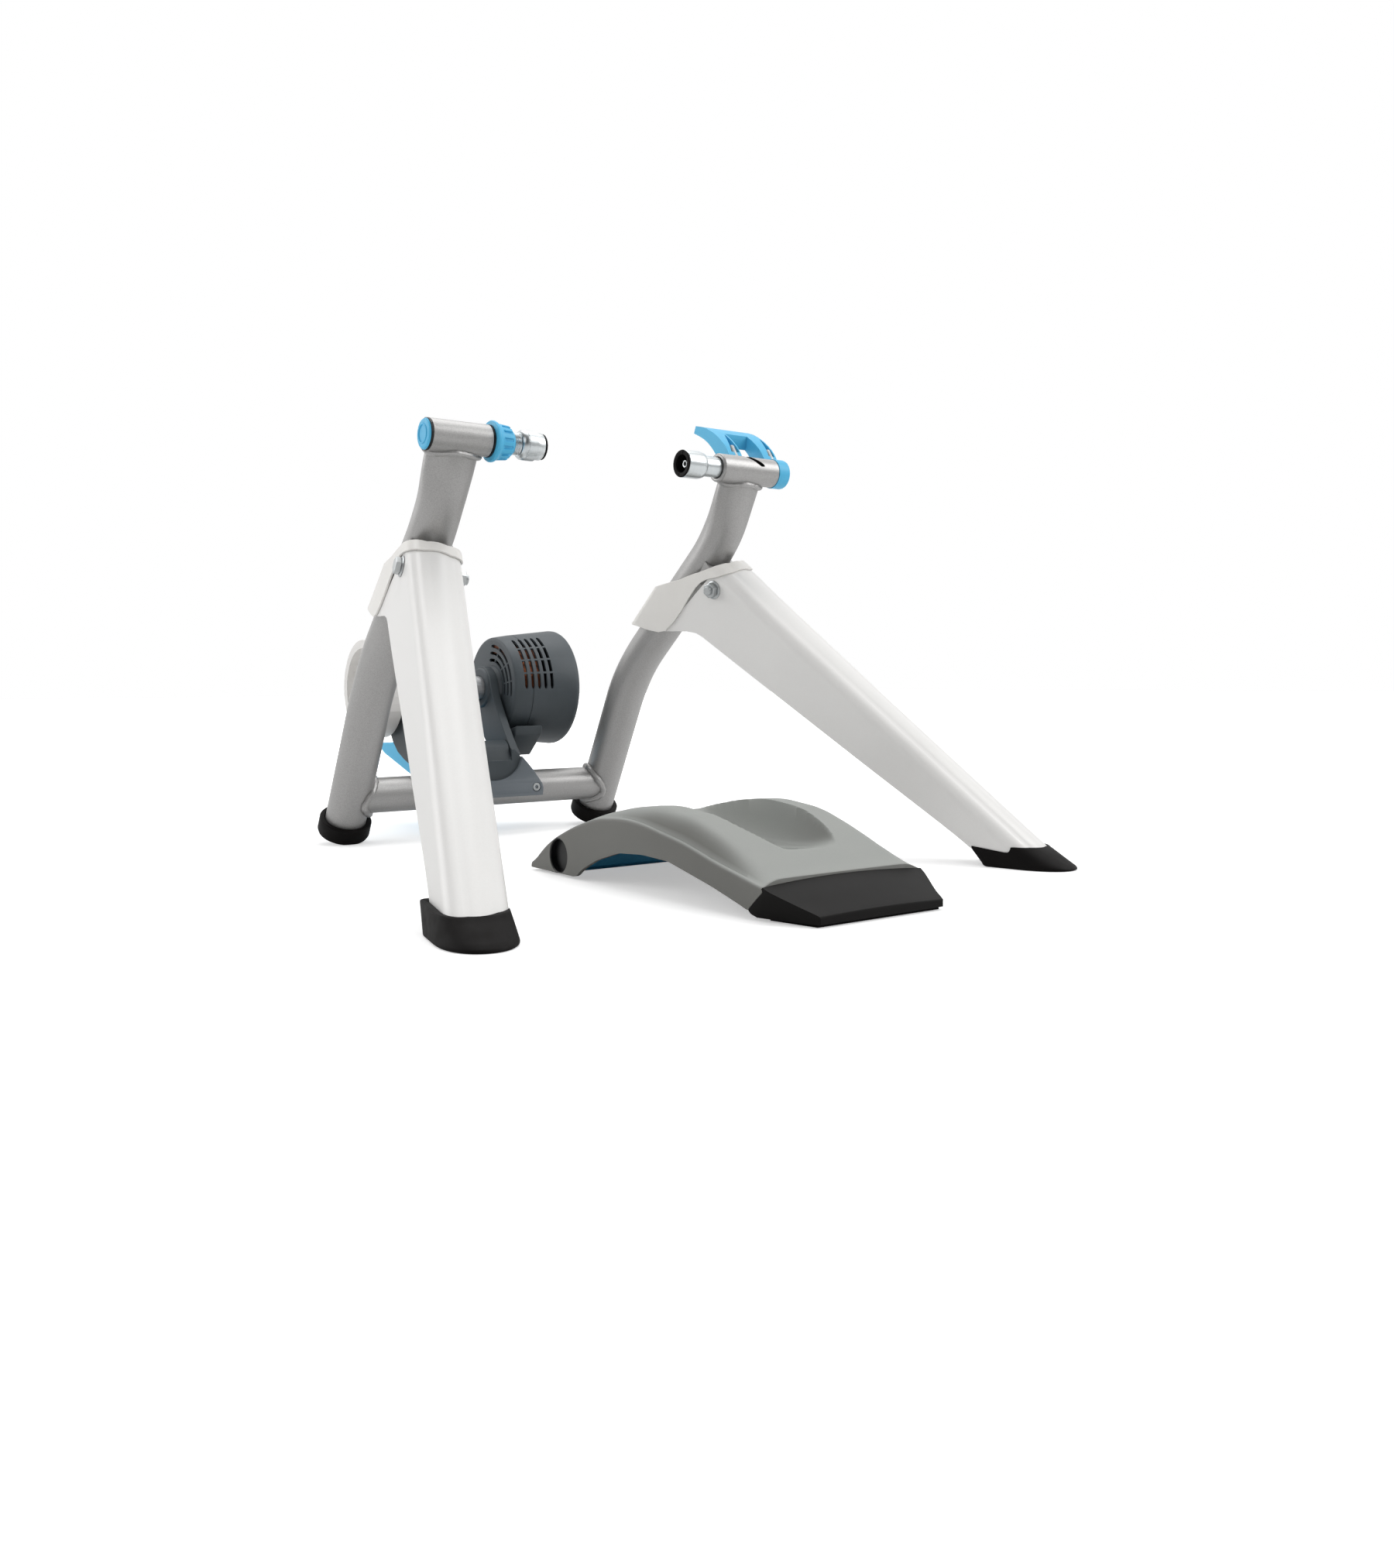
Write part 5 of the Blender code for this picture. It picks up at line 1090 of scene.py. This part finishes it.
# Camera, fitted to the photo. Sizes in its pixels
PHOTO = (1800.0, 2025.0)
FOCAL = 1668.49
CENTRE = (905.95, 891.86)
SENSOR = 36.0
yaw, pitch, roll = radians(36.0963), radians(-0.4504), radians(-0.2901)
ahead = Vector((sin(yaw) * cos(pitch), cos(yaw) * cos(pitch), sin(pitch)))
across = Vector((cos(yaw), -sin(yaw), 0.0))
above = across.cross(ahead)
camera_data = bpy.data.cameras.new("camera")
camera = bpy.data.objects.new("camera", camera_data)
bpy.context.scene.collection.objects.link(camera)
turned = Matrix((across * cos(roll) + above * sin(roll), above * cos(roll) - across * sin(roll),
    -ahead)).transposed().to_4x4()
turned.translation = Vector((-0.6998, -1.1108 + AXLE_Y, 0.1823))
camera.matrix_world = turned
camera_data.sensor_fit = "VERTICAL"
camera_data.sensor_height = SENSOR
camera_data.lens = FOCAL / PHOTO[1] * SENSOR
camera_data.shift_x = (PHOTO[0] / 2.0 - CENTRE[0]) / PHOTO[1]
camera_data.shift_y = (CENTRE[1] - PHOTO[1] / 2.0) / PHOTO[1]
bpy.context.scene.camera = camera
bpy.context.scene.view_settings.view_transform = "Standard"

# Finishes of the pieces that stay as packed
for material, nodes in (
        (grey_coat, ("left_pivot_lug", "right_pivot_lug")),
        (black_plastic, ("left_outer_seal", "left_inner_seal", "left_cup_liner", "block_foot_end_left",
                         "block_foot_end_right", "power_inlet")),
        (zinc_fastener, ("saddle_screw_left", "saddle_screw_right", "unit_pin", "pedal_pin")),
        (ground_steel, ("left_bearing", "right_bearing", "roller_shaft", "brake_rotor")),
        (black_rubber, ("block_nose_pad",)), (copper_wire_painted_shade, ("stator",)), (roller_skin, ("roller",)),
        (flywheel_steel_painted_reflection, ("flywheel",)), (sky_nylon, ("pedal",))):
    for node in nodes:
        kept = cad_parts[node]
        kept.data.materials.clear()
        kept.data.materials.append(material)

# Floor, light and background
WHITE = (1.0, 1.0, 1.0, 1.0)
floor_mesh = bmesh.new()
bmesh.ops.create_grid(floor_mesh, x_segments=1, y_segments=1, size=15.0)
floor = holder("floor", floor_mesh)
floor.location.z = -0.0002
pale = bpy.data.materials.new("studio_floor_white")
pale.use_nodes = True
tree = pale.node_tree
shader = tree.nodes["Principled BSDF"]
shader.inputs["Base Color"].default_value = linear("#e6e6e6")
shader.inputs["Roughness"].default_value = 0.7
away = add(tree, "VectorMath", {0: add(tree, "TexCoord").outputs["Object"]}, operation="LENGTH")
lift = add(tree, "MapRange", {0: away.outputs["Value"], 1: 0.7, 2: 2.2, 3: 0.42, 4: 1.0}).outputs[0]
glow = add(tree, "Emission", {"Color": WHITE, "Strength": lift})
seen = add(tree, "LightPath").outputs["Is Camera Ray"]
unlit = add(tree, "MixShader", {0: seen, 2: glow.outputs[0]})
both = add(tree, "AddShader", {0: shader.outputs[0], 1: unlit.outputs[0]})
tree.links.new(both.outputs[0], tree.nodes["Material Output"].inputs["Surface"])
floor.data.materials.append(pale)

world = bpy.data.worlds.new("studio")
bpy.context.scene.world = world
world.use_nodes = True
tree = world.node_tree
path = add(tree, "LightPath")
mirrored = add(tree, "Math", {0: path.outputs["Is Glossy Ray"], 1: path.outputs["Is Transmission Ray"]},
    operation="MAXIMUM")
way = add(tree, "TexCoord").outputs["Generated"]


def darker(towards, start, end, least):
    """A share that falls smoothly to least in one direction of the room."""
    facing = add(tree, "VectorMath", {0: way, 1: towards}, operation="DOT_PRODUCT").outputs["Value"]
    return add(tree, "MapRange", {0: facing, 1: start, 2: end, 3: 1.0, 4: least},
        interpolation_type="SMOOTHSTEP").outputs[0]


dark = darker((-0.97, -0.24, 0.05), -0.05, 0.75, 0.05)
dim = darker((-0.1, -0.99, 0.0), -0.1, 0.9, 0.45)
room = add(tree, "Math", {0: dark, 1: dim}, operation="MULTIPLY").outputs[0]
soft, shown, gloss = [add(tree, "Background", {"Color": WHITE, "Strength": strength}).outputs[0]
    for strength in (0.46, 1.0, room)]
first = add(tree, "MixShader", {0: mirrored.outputs[0], 1: soft, 2: gloss})
last = add(tree, "MixShader", {0: path.outputs["Is Camera Ray"], 1: first.outputs[0], 2: shown})
tree.links.new(last.outputs[0], tree.nodes["World Output"].inputs["Surface"])


def softbox(name, spot, size, power):
    """A square lamp that looks at the middle of the trainer."""
    data = bpy.data.lights.new(name, "AREA")
    data.size = size
    data.energy = power
    lamp = bpy.data.objects.new(name, data)
    lamp.location = spot
    lamp.rotation_euler = (Vector((0.0, 0.0, 0.2)) - Vector(spot)).to_track_quat("-Z", "Y").to_euler()
    bpy.context.scene.collection.objects.link(lamp)


softbox("right_softbox", (2.4, -1.9, 2.4), 2.0, 62.0)
softbox("top_softbox", (0.3, 0.6, 3.0), 2.5, 42.0)
softbox("rear_left_softbox", (-2.4, 2.2, 1.6), 2.0, 40.0)
softbox("left_softbox", (-2.6, -1.2, 1.8), 1.6, 10.0)
